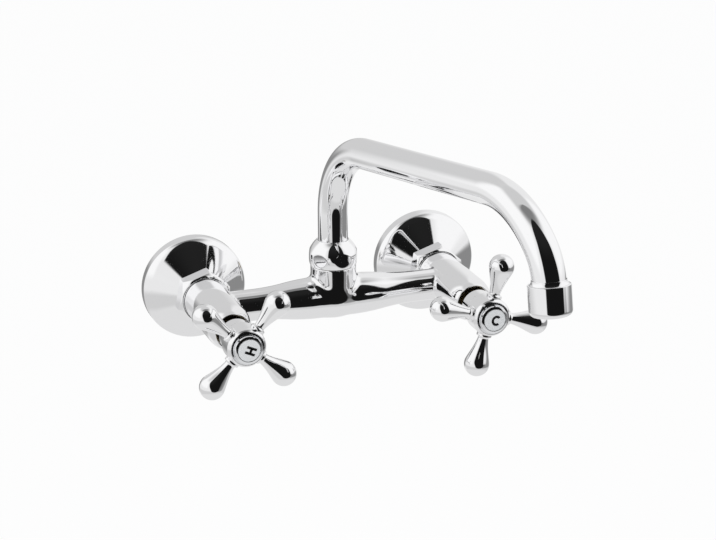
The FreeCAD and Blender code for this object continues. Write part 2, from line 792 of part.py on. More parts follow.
def build_valve_side(side, x, rest_turn):
    """Everything that belongs to one barrel, from the wall to the index disc."""
    base = (x, 0, 0)
    turned = OUTWARDS * Rotation(Vector(0, 0, 1), rest_turn.number)
    pieces = [
        build_wall_flange(f"{side}_wall_flange", base),
        build_eccentric_union(f"{side}_eccentric_union", base),
    ]
    washer_radius = size("union_thread_radius") - 0.3
    pieces.append(
        ring(f"{side}_union_washer", size("washer_bore"), washer_radius, union_end, lip_back, base, OUTWARDS)
    )
    pieces.append(build_union_nut(f"{side}_union_nut", base))
    pieces.append(build_inlet_nipple(f"{side}_inlet_nipple", base))
    pieces.append(build_bonnet(f"{side}_bonnet", base))
    gasket_inner = size("bonnet_thread_radius") + thread_clearance
    gasket_outer = size("mouth_recess_radius") - 0.2
    gasket_top = mouth_floor + size("gasket_thickness")
    gasket_label = f"{side}_bonnet_gasket"
    pieces.append(ring(gasket_label, gasket_inner, gasket_outer, mouth_floor, gasket_top, base, OUTWARDS))
    pieces.append(build_spindle(f"{side}_spindle", base, turned))
    pieces.append(build_spindle_rings(f"{side}_spindle_o_rings", base, turned))
    clip_low = size("bonnet_neck_end") + gap
    clip_inner = size("spindle_radius") - size("clip_groove_depth") + running_clearance
    clip_top = clip_low + size("clip_thickness")
    clip = ring(f"{side}_spindle_clip", clip_inner, size("clip_radius"), clip_low, clip_top, base, turned)
    pieces.append(clip)
    pieces.append(build_valve_piston(f"{side}_valve_piston", base))
    washer_low = seat_face + size("valve_squeeze")
    washer_top = washer_low + size("valve_washer_thickness")
    hole, outer = size("valve_screw_radius") + thread_clearance, size("valve_washer_radius")
    pieces.append(ring(f"{side}_valve_washer", hole, outer, washer_low, washer_top, base, OUTWARDS))
    pieces.append(build_washer_screw(f"{side}_washer_screw", base))
    pieces.append(build_cross_handle(f"{side}_cross_handle", base, turned))
    pieces.append(build_handle_screw(f"{side}_handle_screw", base, turned))
    pieces.append(build_index_cap(f"{side}_index_cap", base, turned))
    pieces.append(build_index_disc(f"{side}_index_disc", base, turned))
    return pieces


# ---------------------------------------------------------------- mixer casting


def repeat_mirrored(body, name, features):
    mirror = add_feature(body, "Mirrored", name)
    mirror.Originals = features
    mirror.MirrorPlane = (origin_feature(body, "YZ_Plane"), [""])
    body.Tip = mirror
    return mirror


def build_arms(body):
    """The bridge's outside: a swelling bar from barrel axis to barrel axis."""
    axis_height = size("riser_standoff")
    crown, arm = size("crown_radius"), size("arm_radius")
    sweep_start, sweep_end = size("crown_half_length"), size("arm_sweep_end")
    fall, length = crown - arm, sweep_end - sweep_start
    sweep = (fall * fall + length * length) / (fall * 4)
    middle, half_fall = (sweep_start + sweep_end) / 2, (crown + arm) / 2
    corners = [
        (-barrel_x, axis_height),
        (-barrel_x, axis_height + arm),
        (-sweep_end, axis_height + arm),
        (-middle, axis_height + half_fall),
        (-sweep_start, axis_height + crown),
        (sweep_start, axis_height + crown),
        (middle, axis_height + half_fall),
        (sweep_end, axis_height + arm),
        (barrel_x, axis_height + arm),
        (barrel_x, axis_height),
    ]
    arcs = {2: (sweep, "left"), 3: (sweep, "right"), 5: (sweep, "right"), 6: (sweep, "left")}
    sketch = draw(new_sketch(body, "arm_profile", "XZ_Plane"), corners, arcs)
    axis = turned_axis(sketch, (-barrel_x, axis_height), (barrel_x, axis_height))
    return turn_solid(body, "arms", sketch, axis)


def build_barrels(body):
    radius, shoulder, end = size("barrel_radius"), size("barrel_shoulder_start"), size("barrel_end")
    mouth = size("barrel_mouth_radius")
    drop, run = radius - mouth, end - shoulder
    shoulder_radius = (drop * drop + run * run) / (drop * 2)
    corners = [
        (barrel_x, barrel_start),
        (barrel_x + radius, barrel_start),
        (barrel_x + radius, shoulder),
        (barrel_x + mouth, end),
        (barrel_x, end),
    ]
    arcs = {2: (shoulder_radius, "left")}
    sketch = draw(new_sketch(body, "barrel_profile", "XZ_Plane"), corners, arcs)
    axis = turned_axis(sketch, (barrel_x, barrel_start), (barrel_x, end))
    barrel = turn_solid(body, "barrel", sketch, axis)
    barrels = repeat_mirrored(body, "other_barrel", [barrel])

    def meets_arm(edge):
        points = edge.discretize(5)
        from_barrel = [math.hypot(abs(point.x) - barrel_x.number, point.y) for point in points]
        from_arm = [math.hypot(point.z - size("riser_standoff").number, point.y) for point in points]
        on_barrel = max(abs(distance - radius.number) for distance in from_barrel) < 0.01
        return on_barrel and max(from_arm) < size("arm_radius").number + 0.01

    return round_edges(body, "arm_fillet", barrels, size("arm_fillet"), meets_arm)


def build_hub(body):
    """The short upright socket for the spout, with an elbow of metal sweeping into each arm."""
    axis_height, crown = size("riser_standoff"), size("crown_radius")
    top, neck = size("hub_top"), size("socket_thread_radius")
    corners = [
        (0, axis_height),
        (0, axis_height + crown),
        (top, axis_height + crown),
        (top, axis_height + neck),
        (neck_top, axis_height + neck),
        (neck_top, axis_height),
    ]
    sketch = draw(new_sketch(body, "hub_profile", "YZ_Plane"), corners)
    turn_solid(body, "hub", sketch, turned_axis(sketch, (0, axis_height), (top, axis_height)))
    bend, section = size("elbow_inner_radius") + crown, crown - size("elbow_inset")
    for side, turn in ((1, 180), (-1, 270)):
        elbow = add_feature(body, "AdditiveTorus", f"elbow_{turn}")
        elbow.Radius1 = bend.number
        elbow.Radius2 = section.number
        elbow.Angle3 = 90.0
        elbow.setExpression("Radius1", bend.text)
        elbow.setExpression("Radius2", section.text)
        elbow.Placement = Placement(Vector(), Rotation(Vector(0, 0, 1), turn))
        for axis, value in zip("xyz", (bend * side, bend, axis_height)):
            elbow.setExpression(f"Placement.Base.{axis}", value.text)


def cut_valve_ways(body):
    """Bore each barrel: nipple socket, seat wall with its raised seat, chamber, bonnet thread and mouth."""
    end = size("barrel_end")
    chamber, seat_wall = size("chamber_radius"), size("seat_wall_start")
    seat_top = seat_wall + size("seat_wall")
    seat_bore, seat_lip = size("seat_bore"), size("seat_bore") + size("seat_lip")
    nipple = size("nipple_radius") + thread_clearance
    nipple_end = barrel_start + size("nipple_engagement") + gap
    thread = size("bonnet_thread_radius") + thread_clearance
    recess = size("mouth_recess_radius")
    stations = [
        (0, barrel_start),
        (nipple, barrel_start),
        (nipple, nipple_end),
        (chamber, nipple_end),
        (chamber, seat_wall),
        (seat_bore, seat_wall),
        (seat_bore, seat_face),
        (seat_lip, seat_face),
        (seat_lip, seat_top),
        (chamber, seat_top),
        (chamber, size("bonnet_thread_start")),
        (thread, size("bonnet_thread_start")),
        (thread, mouth_floor),
        (recess, mouth_floor),
        (recess, end),
        (0, end),
    ]
    corners = [(barrel_x + across, along) for across, along in stations]
    sketch = draw(new_sketch(body, "valve_way_profile", "XZ_Plane"), corners)
    axis = turned_axis(sketch, (barrel_x, barrel_start), (barrel_x, end))
    valve_way = turn_solid(body, "valve_way", sketch, axis, cut=True)
    repeat_mirrored(body, "other_valve_way", [valve_way])


def cut_mixing_ways(body):
    """Bore the bridge from chamber to chamber, then the socket that the spout turns in."""
    axis_height, waterway = size("riser_standoff"), size("waterway_radius")
    corners = [(-barrel_x, axis_height), (-barrel_x, axis_height + waterway)]
    corners += [(barrel_x, axis_height + waterway), (barrel_x, axis_height)]
    sketch = draw(new_sketch(body, "waterway_profile", "XZ_Plane"), corners)
    axis = turned_axis(sketch, (-barrel_x, axis_height), (barrel_x, axis_height))
    turn_solid(body, "waterway", sketch, axis, cut=True)
    socket, floor, port = size("socket_radius"), size("socket_floor"), size("socket_port_radius")
    corners = [
        (0, axis_height),
        (0, axis_height + port),
        (floor, axis_height + port),
        (floor, axis_height + socket),
        (neck_top, axis_height + socket),
        (neck_top, axis_height),
    ]
    sketch = draw(new_sketch(body, "socket_profile", "YZ_Plane"), corners)
    axis = turned_axis(sketch, (0, axis_height), (neck_top, axis_height))
    turn_solid(body, "socket", sketch, axis, cut=True)


def build_mixer_body():
    """Two barrels and a swelling bridge with a short hub for the spout, cast as one."""
    body = new_body("mixer_body", (0, 0, 0), OUTWARDS)
    build_arms(body)
    build_barrels(body)
    build_hub(body)
    cut_valve_ways(body)
    cut_mixing_ways(body)
    return body


# ---------------------------------------------------------------- spout

spout_base = (0, -size("riser_standoff"), 0)
swivel = size("rest_swivel")
SPOUT_TURN = Rotation(Vector(0, 0, 1), swivel.number - 90)
ferrule_top = neck_top + gap / 2 + size("ferrule_collar")


def spout_path():
    """Corners of the tube's centre line as reach and height, and the bends that follow them."""
    rise, tilt = size("run_rise"), size("outlet_tilt")
    first, second, last = size("riser_bend"), size("drop_bend"), size("tip_bend")
    heading = rise - size("drop_bend_angle")
    bend_start = (as_size(0), size("riser_top"))
    run_start = (first - first * sine(rise), size("riser_top") + first * cosine(rise))
    run_end = (
        run_start[0] + size("run_length") * cosine(rise),
        run_start[1] + size("run_length") * sine(rise),
    )
    tip_start = (
        run_end[0] + second * (sine(rise) - sine(heading)),
        run_end[1] + second * (cosine(heading) - cosine(rise)),
    )
    outlet = (
        tip_start[0] + last * (sine(heading) + cosine(tilt)),
        tip_start[1] + last * (sine(tilt) - cosine(heading)),
    )
    reach = size("outlet_thread_length")
    tube_end = (outlet[0] + reach * sine(tilt), outlet[1] - reach * cosine(tilt))
    corners = [(as_size(0), size("tube_foot")), bend_start, run_start, run_end, tip_start, outlet, tube_end]
    arcs = {1: (first, "right"), 3: (second, "right"), 4: (last, "right")}
    return corners, arcs, outlet


def build_spout_tube():
    body = new_body("spout_tube", spout_base, SPOUT_TURN)
    corners, arcs, _ = spout_path()
    path = draw(new_sketch(body, "path", "XZ_Plane"), corners, arcs, closed=False)
    radius, wall, foot = size("tube_radius"), size("tube_wall"), size("tube_foot")
    outside = draw_circle(new_sketch(body, "outside", "XY_Plane", foot), 0, 0, radius)
    inside = draw_circle(new_sketch(body, "inside", "XY_Plane", foot), 0, 0, radius - wall)
    doc.recompute()
    edges = [f"Edge{index}" for index in range(1, len(corners))]
    skin = add_feature(body, "AdditivePipe", "bent")
    skin.Profile = outside
    skin.Spine = (path, edges)
    doc.recompute()
    bore = add_feature(body, "SubtractivePipe", "bore")
    bore.Profile = inside
    bore.Spine = (path, edges)
    cuts.append(bore)
    return body


def ring_places():
    start = size("ferrule_foot") + gap * 8
    return [start, start + size("ring_spacing")]


def build_spout_ferrule():
    """Brass foot brazed on the tube: it turns in the body's socket and hangs on its own collar."""
    body = new_body("spout_ferrule", spout_base, SPOUT_TURN)
    foot, radius, bore = size("ferrule_foot"), size("ferrule_radius"), size("ferrule_bore")
    collar, collar_start = size("ferrule_collar_radius"), neck_top + gap / 2
    sleeve, step = size("tube_radius") + 0.02, size("tube_foot") - 0.02
    corners = [
        (bore, foot),
        (radius, foot),
        (radius, collar_start),
        (collar, collar_start),
        (collar, ferrule_top),
        (sleeve, ferrule_top),
        (sleeve, step),
        (bore, step),
    ]
    turn_solid(body, "turned", draw(new_sketch(body, "profile", "XZ_Plane"), corners))
    depth, width = size("ring_groove_depth"), size("ring_groove")
    for index, low in enumerate(ring_places()):
        inner, outer, high = radius - depth, radius + 1, low + width
        corners = [(inner, low), (outer, low), (outer, high), (inner, high)]
        groove = draw(new_sketch(body, f"ring_{index}", "XZ_Plane"), corners)
        turn_solid(body, f"ring_groove_{index}", groove, cut=True)
    return body


def build_spout_rings():
    body = new_body("spout_o_rings", spout_base, SPOUT_TURN)
    inner = size("ferrule_radius") - size("ring_groove_depth") + running_clearance
    slack = (size("ring_groove") - size("ring_section")) / 2
    for index, low in enumerate(ring_places()):
        squeezed_ring(body, f"ring_{index}", inner, size("ferrule_radius"), low + slack, size("ring_section"))
    return body


def build_collar_nut():
    """Spout nut: a bulging band cut by six flats, which show as ovals, under a dome with a close lip."""
    body = new_body("spout_collar_nut", spout_base)
    foot = size("hub_top") + gap
    top = foot + size("collar_height")
    shoulder = size("collar_shoulder_radius")
    lip, lip_start = size("collar_lip_radius"), ferrule_top + gap + size("slide_ring")
    thread = size("socket_thread_radius") + thread_clearance
    hole = size("tube_radius") + running_clearance
    corners = [
        (thread, foot),
        (size("collar_foot_radius"), foot),
        (shoulder, foot + size("collar_band")),
        (lip, top),
        (hole, top),
        (hole, lip_start),
        (thread, lip_start),
    ]
    arcs = {1: (size("collar_band_curve"), "left"), 2: (size("collar_dome_curve"), "left")}
    turn_solid(body, "turned", draw(new_sketch(body, "profile", "XZ_Plane"), corners, arcs))
    flat, outer, turn = size("collar_flats") / 2, shoulder + 2, size("collar_turn")
    corners = [(flat, -outer / 2), (outer, -outer / 2), (outer, outer / 2), (flat, outer / 2)]
    corners = [(x * cosine(turn) - y * sine(turn), x * sine(turn) + y * cosine(turn)) for x, y in corners]
    sketch = draw(new_sketch(body, "flat_outline", "XY_Plane", foot), corners)
    flat_cut = extrude(body, "flat", sketch, size("collar_height"), cut=True)
    count = as_size(6)
    repeat_round(body, "flats", [flat_cut], (origin_feature(body, "Z_Axis"), [""]), count)
    return body


def outlet_place():
    """Where the outlet's own frame stands: on the housing's top rim, its Z along the flow."""
    _, _, (reach, height) = spout_path()
    base = (reach * sine(swivel), -size("riser_standoff") - reach * cosine(swivel), height)
    flow = SPOUT_TURN * Rotation(Vector(0, 1, 0), 180 - size("outlet_tilt").number)
    return base, flow


def build_outlet_ferrule(base, flow):
    sleeve, thread = size("tube_radius") + 0.02, size("outlet_thread_radius")
    flare, flare_radius = size("outlet_flare"), size("outlet_flare_radius")
    mouth = sleeve + flare * flare / (size("tip_bend") * 2) + 0.08
    corners = [
        (mouth, -flare),
        (mouth + 0.2, -flare),
        (flare_radius, 0),
        (thread, 0),
        (thread, size("outlet_thread_length")),
        (sleeve, size("outlet_thread_length")),
        (sleeve, 0),
    ]
    arcs = {1: (flare * 1.6, "right")}
    return turned_piece("outlet_ferrule", corners, arcs, base, flow)


def build_aerator_housing(base, flow):
    radius, length, rounding = size("housing_radius"), size("housing_length"), size("housing_round")
    thread = size("outlet_thread_radius") + thread_clearance
    lip, lip_start = size("housing_lip_bore"), size("housing_length") - size("housing_lip")
    corners = [
        (thread, 0),
        (radius, 0),
        (radius, length - rounding),
        (radius - rounding, length),
        (lip, length),
        (lip, lip_start),
        (thread, lip_start),
    ]
    arcs = {2: (rounding, "left")}
    return turned_piece("aerator_housing", corners, arcs, base, flow)


def build_aerator_insert(base, flow):
    """Flow straightener: a cup whose floor is pierced by a ring of holes and one in the middle."""
    body = new_body("aerator_insert", base, flow)
    radius, plate = size("insert_radius"), size("insert_plate")
    low = size("outlet_thread_length") + size("washer_thickness") + gap
    high = size("housing_length") - size("housing_lip")
    inner = radius - plate / 2
    floor = high - plate
    corners = [(inner, low), (radius, low), (radius, high), (0, high), (0, floor), (inner, floor)]
    turn_solid(body, "cup", draw(new_sketch(body, "profile", "XZ_Plane"), corners))
    hole, circle = size("insert_hole_radius"), size("insert_hole_circle")
    middle = draw_circle(new_sketch(body, "middle", "XY_Plane", high - plate), 0, 0, hole)
    extrude(body, "middle_hole", middle, plate, cut=True)
    outer = draw_circle(new_sketch(body, "outer", "XY_Plane", high - plate), circle, 0, hole)
    outer_hole = extrude(body, "outer_hole", outer, plate, cut=True)
    axis = (origin_feature(body, "Z_Axis"), [""])
    repeat_round(body, "outer_holes", [outer_hole], axis, size("insert_hole_count"))
    return body


def build_spout():
    base, flow = outlet_place()
    slide_low = ferrule_top + gap / 2
    slide_top = slide_low + size("slide_ring")
    slide_bore = size("tube_radius") + running_clearance
    washer_low = size("outlet_thread_length") + gap / 2
    washer_top = washer_low + size("washer_thickness")
    slide_radius = size("ferrule_collar_radius")
    slide_ring = ring("spout_slide_ring", slide_bore, slide_radius, slide_low, slide_top, spout_base, None)
    washer_bore, washer_radius = size("ferrule_bore"), size("insert_radius")
    washer = ring("aerator_washer", washer_bore, washer_radius, washer_low, washer_top, base, flow)
    return [
        build_spout_tube(),
        build_spout_ferrule(),
        build_spout_rings(),
        slide_ring,
        build_collar_nut(),
        build_outlet_ferrule(base, flow),
        washer,
        build_aerator_insert(base, flow),
        build_aerator_housing(base, flow),
    ]


# ---------------------------------------------------------------- build, check and write

pieces = [build_mixer_body()]
pieces += build_valve_side("hot", -barrel_x, size("hot_rest_turn"))
pieces += build_valve_side("cold", barrel_x, size("cold_rest_turn"))
pieces += build_spout()
doc.recompute()

for item in doc.Objects:
    if "Invalid" in item.State or "Error" in item.State:
        raise RuntimeError(f"{item.Label} failed: {item.State}")
for cut in cuts:
    if cut.Shape.Volume > cut.BaseFeature.Shape.Volume - 0.01:
        raise RuntimeError(f"{cut.Label} removes nothing")
for piece in pieces:
    if piece.Shape.isNull() or not piece.Shape.isValid():
        raise RuntimeError(f"{piece.Label} has no valid shape")

os.makedirs("parts", exist_ok=True)
for piece in pieces:
    piece.Shape.exportStep(os.path.join("parts", f"{piece.Label}.step"))
    solids = len(piece.Shape.Solids)
    print(f"{piece.Label}: {solids} solid(s), {piece.Shape.Volume:.1f} mm3")
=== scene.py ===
import json
import math

import bmesh
import bpy
import numpy as np
from mathutils import Matrix, Vector


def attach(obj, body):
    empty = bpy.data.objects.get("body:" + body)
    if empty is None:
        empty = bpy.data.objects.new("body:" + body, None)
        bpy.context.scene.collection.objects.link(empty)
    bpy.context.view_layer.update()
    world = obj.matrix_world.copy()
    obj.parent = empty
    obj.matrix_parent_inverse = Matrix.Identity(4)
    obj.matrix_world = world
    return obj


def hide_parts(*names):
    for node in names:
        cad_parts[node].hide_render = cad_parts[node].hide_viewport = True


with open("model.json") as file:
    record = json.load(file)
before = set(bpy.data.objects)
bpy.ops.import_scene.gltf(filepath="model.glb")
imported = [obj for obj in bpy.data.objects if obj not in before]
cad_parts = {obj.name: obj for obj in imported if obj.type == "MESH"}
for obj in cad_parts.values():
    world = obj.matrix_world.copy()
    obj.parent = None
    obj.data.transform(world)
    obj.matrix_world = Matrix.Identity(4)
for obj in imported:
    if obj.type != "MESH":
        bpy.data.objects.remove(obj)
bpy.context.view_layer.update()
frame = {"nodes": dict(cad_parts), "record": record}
print("frame loaded:", len(frame["nodes"]), "nodes")

scene = bpy.context.scene
mm = 0.001
mergeWithin = 0.002 * mm

# One barrel each side of the bridge. A barrel's own axis points away from the wall, so heights are
# distances from the wall, and turns are seen from the user's side.
tap = {
    "barrelX": 75.0,
    "bridgeOut": 49.2,
    "hotTurn": 49.0,
    "coldTurn": 75.7,
    "swivel": 9.0,
}


# ---- camera, light and floor

camera = {
    "azimuth": -18.43,
    "elevation": 19.35,
    "roll": -0.45,
    "distance": 1.4039,
    "lens": 117.2,
    "aim": (0, -0.055, 0),
    "shiftX": 0.0300,
    "shiftY": 0.0397,
    "near": 0.05,
    "far": 60.0,
}


def awayFrom(azimuth, elevation):  # from the tap towards something at that bearing; 0 is the user's side
    a, e = math.radians(azimuth), math.radians(elevation)
    return Vector((math.sin(a) * math.cos(e), -math.cos(a) * math.cos(e), math.sin(e)))


def addBody(name, data):
    body = bpy.data.objects.new(name, data)
    scene.collection.objects.link(body)
    return body


def placeCamera(facts):
    data = bpy.data.cameras.new("camera")
    data.lens = facts["lens"]
    data.shift_x, data.shift_y = facts["shiftX"], facts["shiftY"]
    data.clip_start, data.clip_end = facts["near"], facts["far"]
    body = addBody("camera", data)
    back = awayFrom(facts["azimuth"], facts["elevation"])
    right = Vector((0, 0, 1)).cross(back).normalized()
    up = back.cross(right)
    roll = math.radians(facts["roll"])
    rolledRight = right * math.cos(roll) + up * math.sin(roll)
    rolledUp = up * math.cos(roll) - right * math.sin(roll)
    body.matrix_world = Matrix.Translation(Vector(facts["aim"]) + back * facts["distance"]) @ Matrix(
        (rolledRight, rolledUp, back)
    ).transposed().to_4x4()
    scene.camera = body


placeCamera(camera)
scene.view_settings.view_transform = "Standard"


def linear(hexColour):
    parts = [int(hexColour[i : i + 2], 16) / 255 for i in (1, 3, 5)]
    return [c / 12.92 if c <= 0.04045 else ((c + 0.055) / 1.055) ** 2.4 for c in parts] + [1.0]


def addNode(tree, kind, settings=None, links=None):
    node = tree.nodes.new(kind)
    for name, value in (settings or {}).items():
        if isinstance(name, int) or name in node.inputs:
            node.inputs[name].default_value = value
        else:
            setattr(node, name, value)
    for name, source in (links or {}).items():
        tree.links.new(source, node.inputs[name])
    return node


def blankMaterial(name):
    material = bpy.data.materials.new(name)
    material.use_nodes = True
    material.node_tree.nodes.clear()
    return material, material.node_tree


def grainNoise(tree, grain, settings):  # noise on a piece's own coordinates; the grain is in millimetres
    place = addNode(tree, "ShaderNodeTexCoord").outputs["Object"]
    noise = addNode(tree, "ShaderNodeTexNoise", {"Scale": 1 / (grain * mm), **settings}, {"Vector": place})
    return noise.outputs["Fac"]


def grainBump(tree, strength, depth, height, under=None):  # a depth in millimetres, on top of another bump
    links = {"Height": height} if under is None else {"Height": height, "Normal": under}
    return addNode(tree, "ShaderNodeBump", {"Strength": strength, "Distance": depth * mm}, links).outputs["Normal"]


def sharpRays(tree):  # 1 for what the camera sees, straight or in a mirror; then all of the light path
    ray = addNode(tree, "ShaderNodeLightPath").outputs
    sources = {0: ray["Is Camera Ray"], 1: ray["Is Glossy Ray"]}
    return addNode(tree, "ShaderNodeMath", {"operation": "MAXIMUM"}, sources).outputs[0], ray


def blend(tree, share, first, second):
    links = {"Fac": share.outputs[0], 1: first.outputs[0], 2: second.outputs[0]}
    return addNode(tree, "ShaderNodeMixShader", links=links).outputs[0]


studio = {
    "skyColour": "#F4F6F8",
    "skyStrength": 0.78,
    "floorColour": "#F7F7F7",
    "floorHeight": -0.62,
    "floorReach": 9.0,
    "floorSides": 48,
    "floorGlow": 0.93,  # how much of the floor is plain white to the camera; the rest keeps the shadow
    "floorGrain": 25.0,  # mm
    "floorGrainDepth": 0.5,  # mm
    "keyPower": 9.0,
    "keySize": 0.9,
    "keyFrom": (-42.0, 58.0),
    "keyDistance": 1.7,
}

# A round light tent that only reflections see. Each cloth of it has its bearings from the tap in degrees
# (middle and half width of its azimuth, lowest and highest elevation), how far its edge blurs, and its grey.
tent = {"radius": 1.1, "middle": (0, -0.06, 0.03), "grey": 236, "step": 1.25}
cloths = {
    "tableCover": {"azimuth": (0, 190), "elevation": (-95, -42), "blur": 12, "grey": 223},
    "tableEdge": {"azimuth": (0, 145), "elevation": (-42, -17), "blur": 10, "grey": 209},
    "leftSheet": {"azimuth": (-98, 40), "elevation": (5, 54), "blur": 14, "grey": 253},
    "rightSheet": {"azimuth": (84, 34), "elevation": (5, 54), "blur": 12, "grey": 251},
    "roof": {"azimuth": (0, 190), "elevation": (60, 95), "blur": 12, "grey": 206},
    "roofFront": {"azimuth": (0, 84), "elevation": (66, 95), "blur": 20, "grey": 128},
    "backSheet": {"azimuth": (-172, 30), "elevation": (-2, 64), "blur": 16, "grey": 208},
    "backLow": {"azimuth": (-172, 24), "elevation": (-27, 2), "blur": 14, "grey": 140},
    "rightLow": {"azimuth": (74, 43), "elevation": (-28, -7), "blur": 7, "grey": 138},
    "rightPost": {"azimuth": (48, 8), "elevation": (-15, -4), "blur": 8, "grey": 104},
}
# The black cloth stands behind the camera, from the table to the roof: elevation, left and right edge.
blackCloth = {
    "edges": [(-29, -2, 12), (-28, -10, 21), (-25, -17, 30), (-20, -24, 37), (-13, -28, 41), (0, -33, 43)]
    + [(12, -38, 41), (30, -44, 39), (48, -47, 42), (56, -46, 42), (62, -42, 39), (67, -36, 33)]
    + [(71, -27, 25), (74, -14, 13)],
    "blur": 3.5,
    "grey": 34,
    "core": {"azimuth": (2, 60), "elevation": (-40, 40), "blur": 30, "grey": 21},
}


def buildWorld(facts):
    world = bpy.data.worlds.new("studioDome")
    world.use_nodes = True
    tree = world.node_tree
    tree.nodes.clear()
    seen, ray = sharpRays(tree)
    shown = addNode(tree, "ShaderNodeMath", {"operation": "MAXIMUM"}, {0: seen, 1: ray["Is Transmission Ray"]})
    sky = {"Color": linear(facts["skyColour"]), "Strength": facts["skyStrength"]}
    soft = addNode(tree, "ShaderNodeBackground", sky)
    white = addNode(tree, "ShaderNodeBackground", {"Color": linear("#FFFFFF"), "Strength": 1.0})
    addNode(tree, "ShaderNodeOutputWorld", links={"Surface": blend(tree, shown, soft, white)})
    scene.world = world


def plainObject(name, verts, faces, material):
    mesh = bpy.data.meshes.new(name)
    mesh.from_pydata([tuple(v) for v in verts], [], faces)
    mesh.materials.append(material)
    mesh.validate()
    return addBody(name, mesh)


def floorPaint(facts):
    material, tree = blankMaterial("paleMattFloor")
    speck = grainNoise(tree, facts["floorGrain"], {"Detail": 3.0})
    matt = addNode(
        tree,
        "ShaderNodeBsdfPrincipled",
        {"Base Color": linear(facts["floorColour"]), "Roughness": 0.8},
        {"Normal": grainBump(tree, 0.1, facts["floorGrainDepth"], speck)},
    )
    glow = addNode(tree, "ShaderNodeEmission", {"Color": linear("#FFFFFF"), "Strength": 1.0})
    seen = sharpRays(tree)[0]
    share = addNode(tree, "ShaderNodeMath", {"operation": "MULTIPLY", 1: facts["floorGlow"]}, {0: seen})
    addNode(tree, "ShaderNodeOutputMaterial", links={"Surface": blend(tree, share, matt, glow)})
    return material


def smooth(low, high, value):
    t = np.clip((value - low) / (high - low), 0, 1)
    return t * t * (3 - 2 * t)


def cover(facts, azimuth, elevation):  # how much of a cloth is seen at a bearing, with its blurred edges
    middle, half = facts["azimuth"]
    low, high = facts["elevation"]
    blur = facts["blur"] / 2
    off = np.abs((azimuth - middle + 180) % 360 - 180)
    across = 1 - smooth(half - blur, half + blur, off)
    return across * smooth(low - blur, low + blur, elevation) * (1 - smooth(high - blur, high + blur, elevation))


def tentGrey(azimuth, elevation):
    grey = np.full(azimuth.shape, float(tent["grey"]))
    for cloth in cloths.values():
        grey += (cloth["grey"] - grey) * cover(cloth, azimuth, elevation)
    rows = np.array(blackCloth["edges"], float)
    left = np.interp(elevation, rows[:, 0], rows[:, 1])
    right = np.interp(elevation, rows[:, 0], rows[:, 2])
    blur = blackCloth["blur"] / 2
    black = smooth(left - blur, left + blur, azimuth) * (1 - smooth(right - blur, right + blur, azimuth))
    black *= smooth(rows[0, 0] - blur, rows[0, 0] + blur, elevation)
    black *= 1 - smooth(rows[-1, 0] - blur, rows[-1, 0] + blur, elevation)
    core = blackCloth["core"]
    depth = blackCloth["grey"] + (core["grey"] - blackCloth["grey"]) * cover(core, azimuth, elevation)
    return grey + (depth - grey) * black


def hangTent():
    across, along = round(360 / tent["step"]), round(180 / tent["step"])
    azimuth, elevation = np.meshgrid(
        -180 + 360 * np.arange(across) / across, -90 + 180 * np.arange(along + 1) / along, indexing="xy"
    )
    azimuth, elevation = azimuth.ravel(), elevation.ravel()
    verts = [Vector(tent["middle"]) + awayFrom(a, e) * tent["radius"] for a, e in zip(azimuth, elevation)]
    faces = []
    for j in range(along):
        for i in range(across):
            k, n = j * across + i, j * across + (i + 1) % across
            faces.append((k, n, n + across, k + across))
    material, tree = blankMaterial("tentCloth")
    shade = addNode(tree, "ShaderNodeAttribute", {"attribute_name": "shade"})
    paint = addNode(tree, "ShaderNodeEmission", {"Strength": 1.0}, {"Color": shade.outputs["Color"]})
    addNode(tree, "ShaderNodeOutputMaterial", links={"Surface": paint.outputs[0]})
    dome = plainObject("lightTent", verts, faces, material)
    colours = dome.data.attributes.new("shade", "FLOAT_COLOR", "POINT")
    grey = (tentGrey(azimuth, elevation) / 255 + 0.055) / 1.055
    rgba = np.ones((len(grey), 4))
    rgba[:, :3] = (grey**2.4)[:, None]
    colours.data.foreach_set("color", rgba.ravel())
    dome.visible_camera = False
    dome.visible_diffuse = False
    dome.visible_shadow = False
    dome.visible_transmission = False


def buildStudio(facts):
    buildWorld(facts)
    r, z = facts["floorReach"], facts["floorHeight"]
    turns = [math.tau * k / facts["floorSides"] for k in range(facts["floorSides"])]
    rim = [(r * math.cos(t), r * math.sin(t), z) for t in turns]
    floor = plainObject("floor", rim, [tuple(range(len(rim)))], floorPaint(facts))
    floor.visible_glossy = False
    hangTent()
    lamp = bpy.data.lights.new("softKey", "AREA")
    lamp.energy = facts["keyPower"]
    lamp.size = facts["keySize"]
    key = addBody("softKey", lamp)
    bearing = awayFrom(*facts["keyFrom"])
    key.location = bearing * facts["keyDistance"]
    key.rotation_mode = "QUATERNION"
    key.rotation_quaternion = bearing.to_track_quat("Z", "Y")
    key.visible_glossy = False


buildStudio(studio)
print("studio ready")


# ---- finishes


def chromeFinish(name, colour, roughness, waveLength, waveDepth, grain, grainDepth):
    # wave lengths and depths in millimetres: the slow ripple left by polishing, then fine wipe marks
    material, tree = blankMaterial(name)
    ripple = grainNoise(tree, waveLength, {"Detail": 1.5, "Roughness": 0.4})
    wipes = grainNoise(tree, grain, {"Detail": 4.0, "Roughness": 0.6, "Distortion": 0.6})
    sheen = addNode(
        tree,
        "ShaderNodeMapRange",
        {"From Min": 0.3, "From Max": 0.75, "To Min": roughness, "To Max": roughness * 2.2},
        {"Value": wipes},
    )
    slow = grainBump(tree, 1.0, waveDepth, ripple)
    metal = addNode(
        tree,
        "ShaderNodeBsdfPrincipled",
        {"Base Color": linear(colour), "Metallic": 1.0},
        {"Roughness": sheen.outputs["Result"], "Normal": grainBump(tree, 0.5, grainDepth, wipes, slow)},
    )
    addNode(tree, "ShaderNodeOutputMaterial", links={"Surface": metal.outputs[0]})
    return material


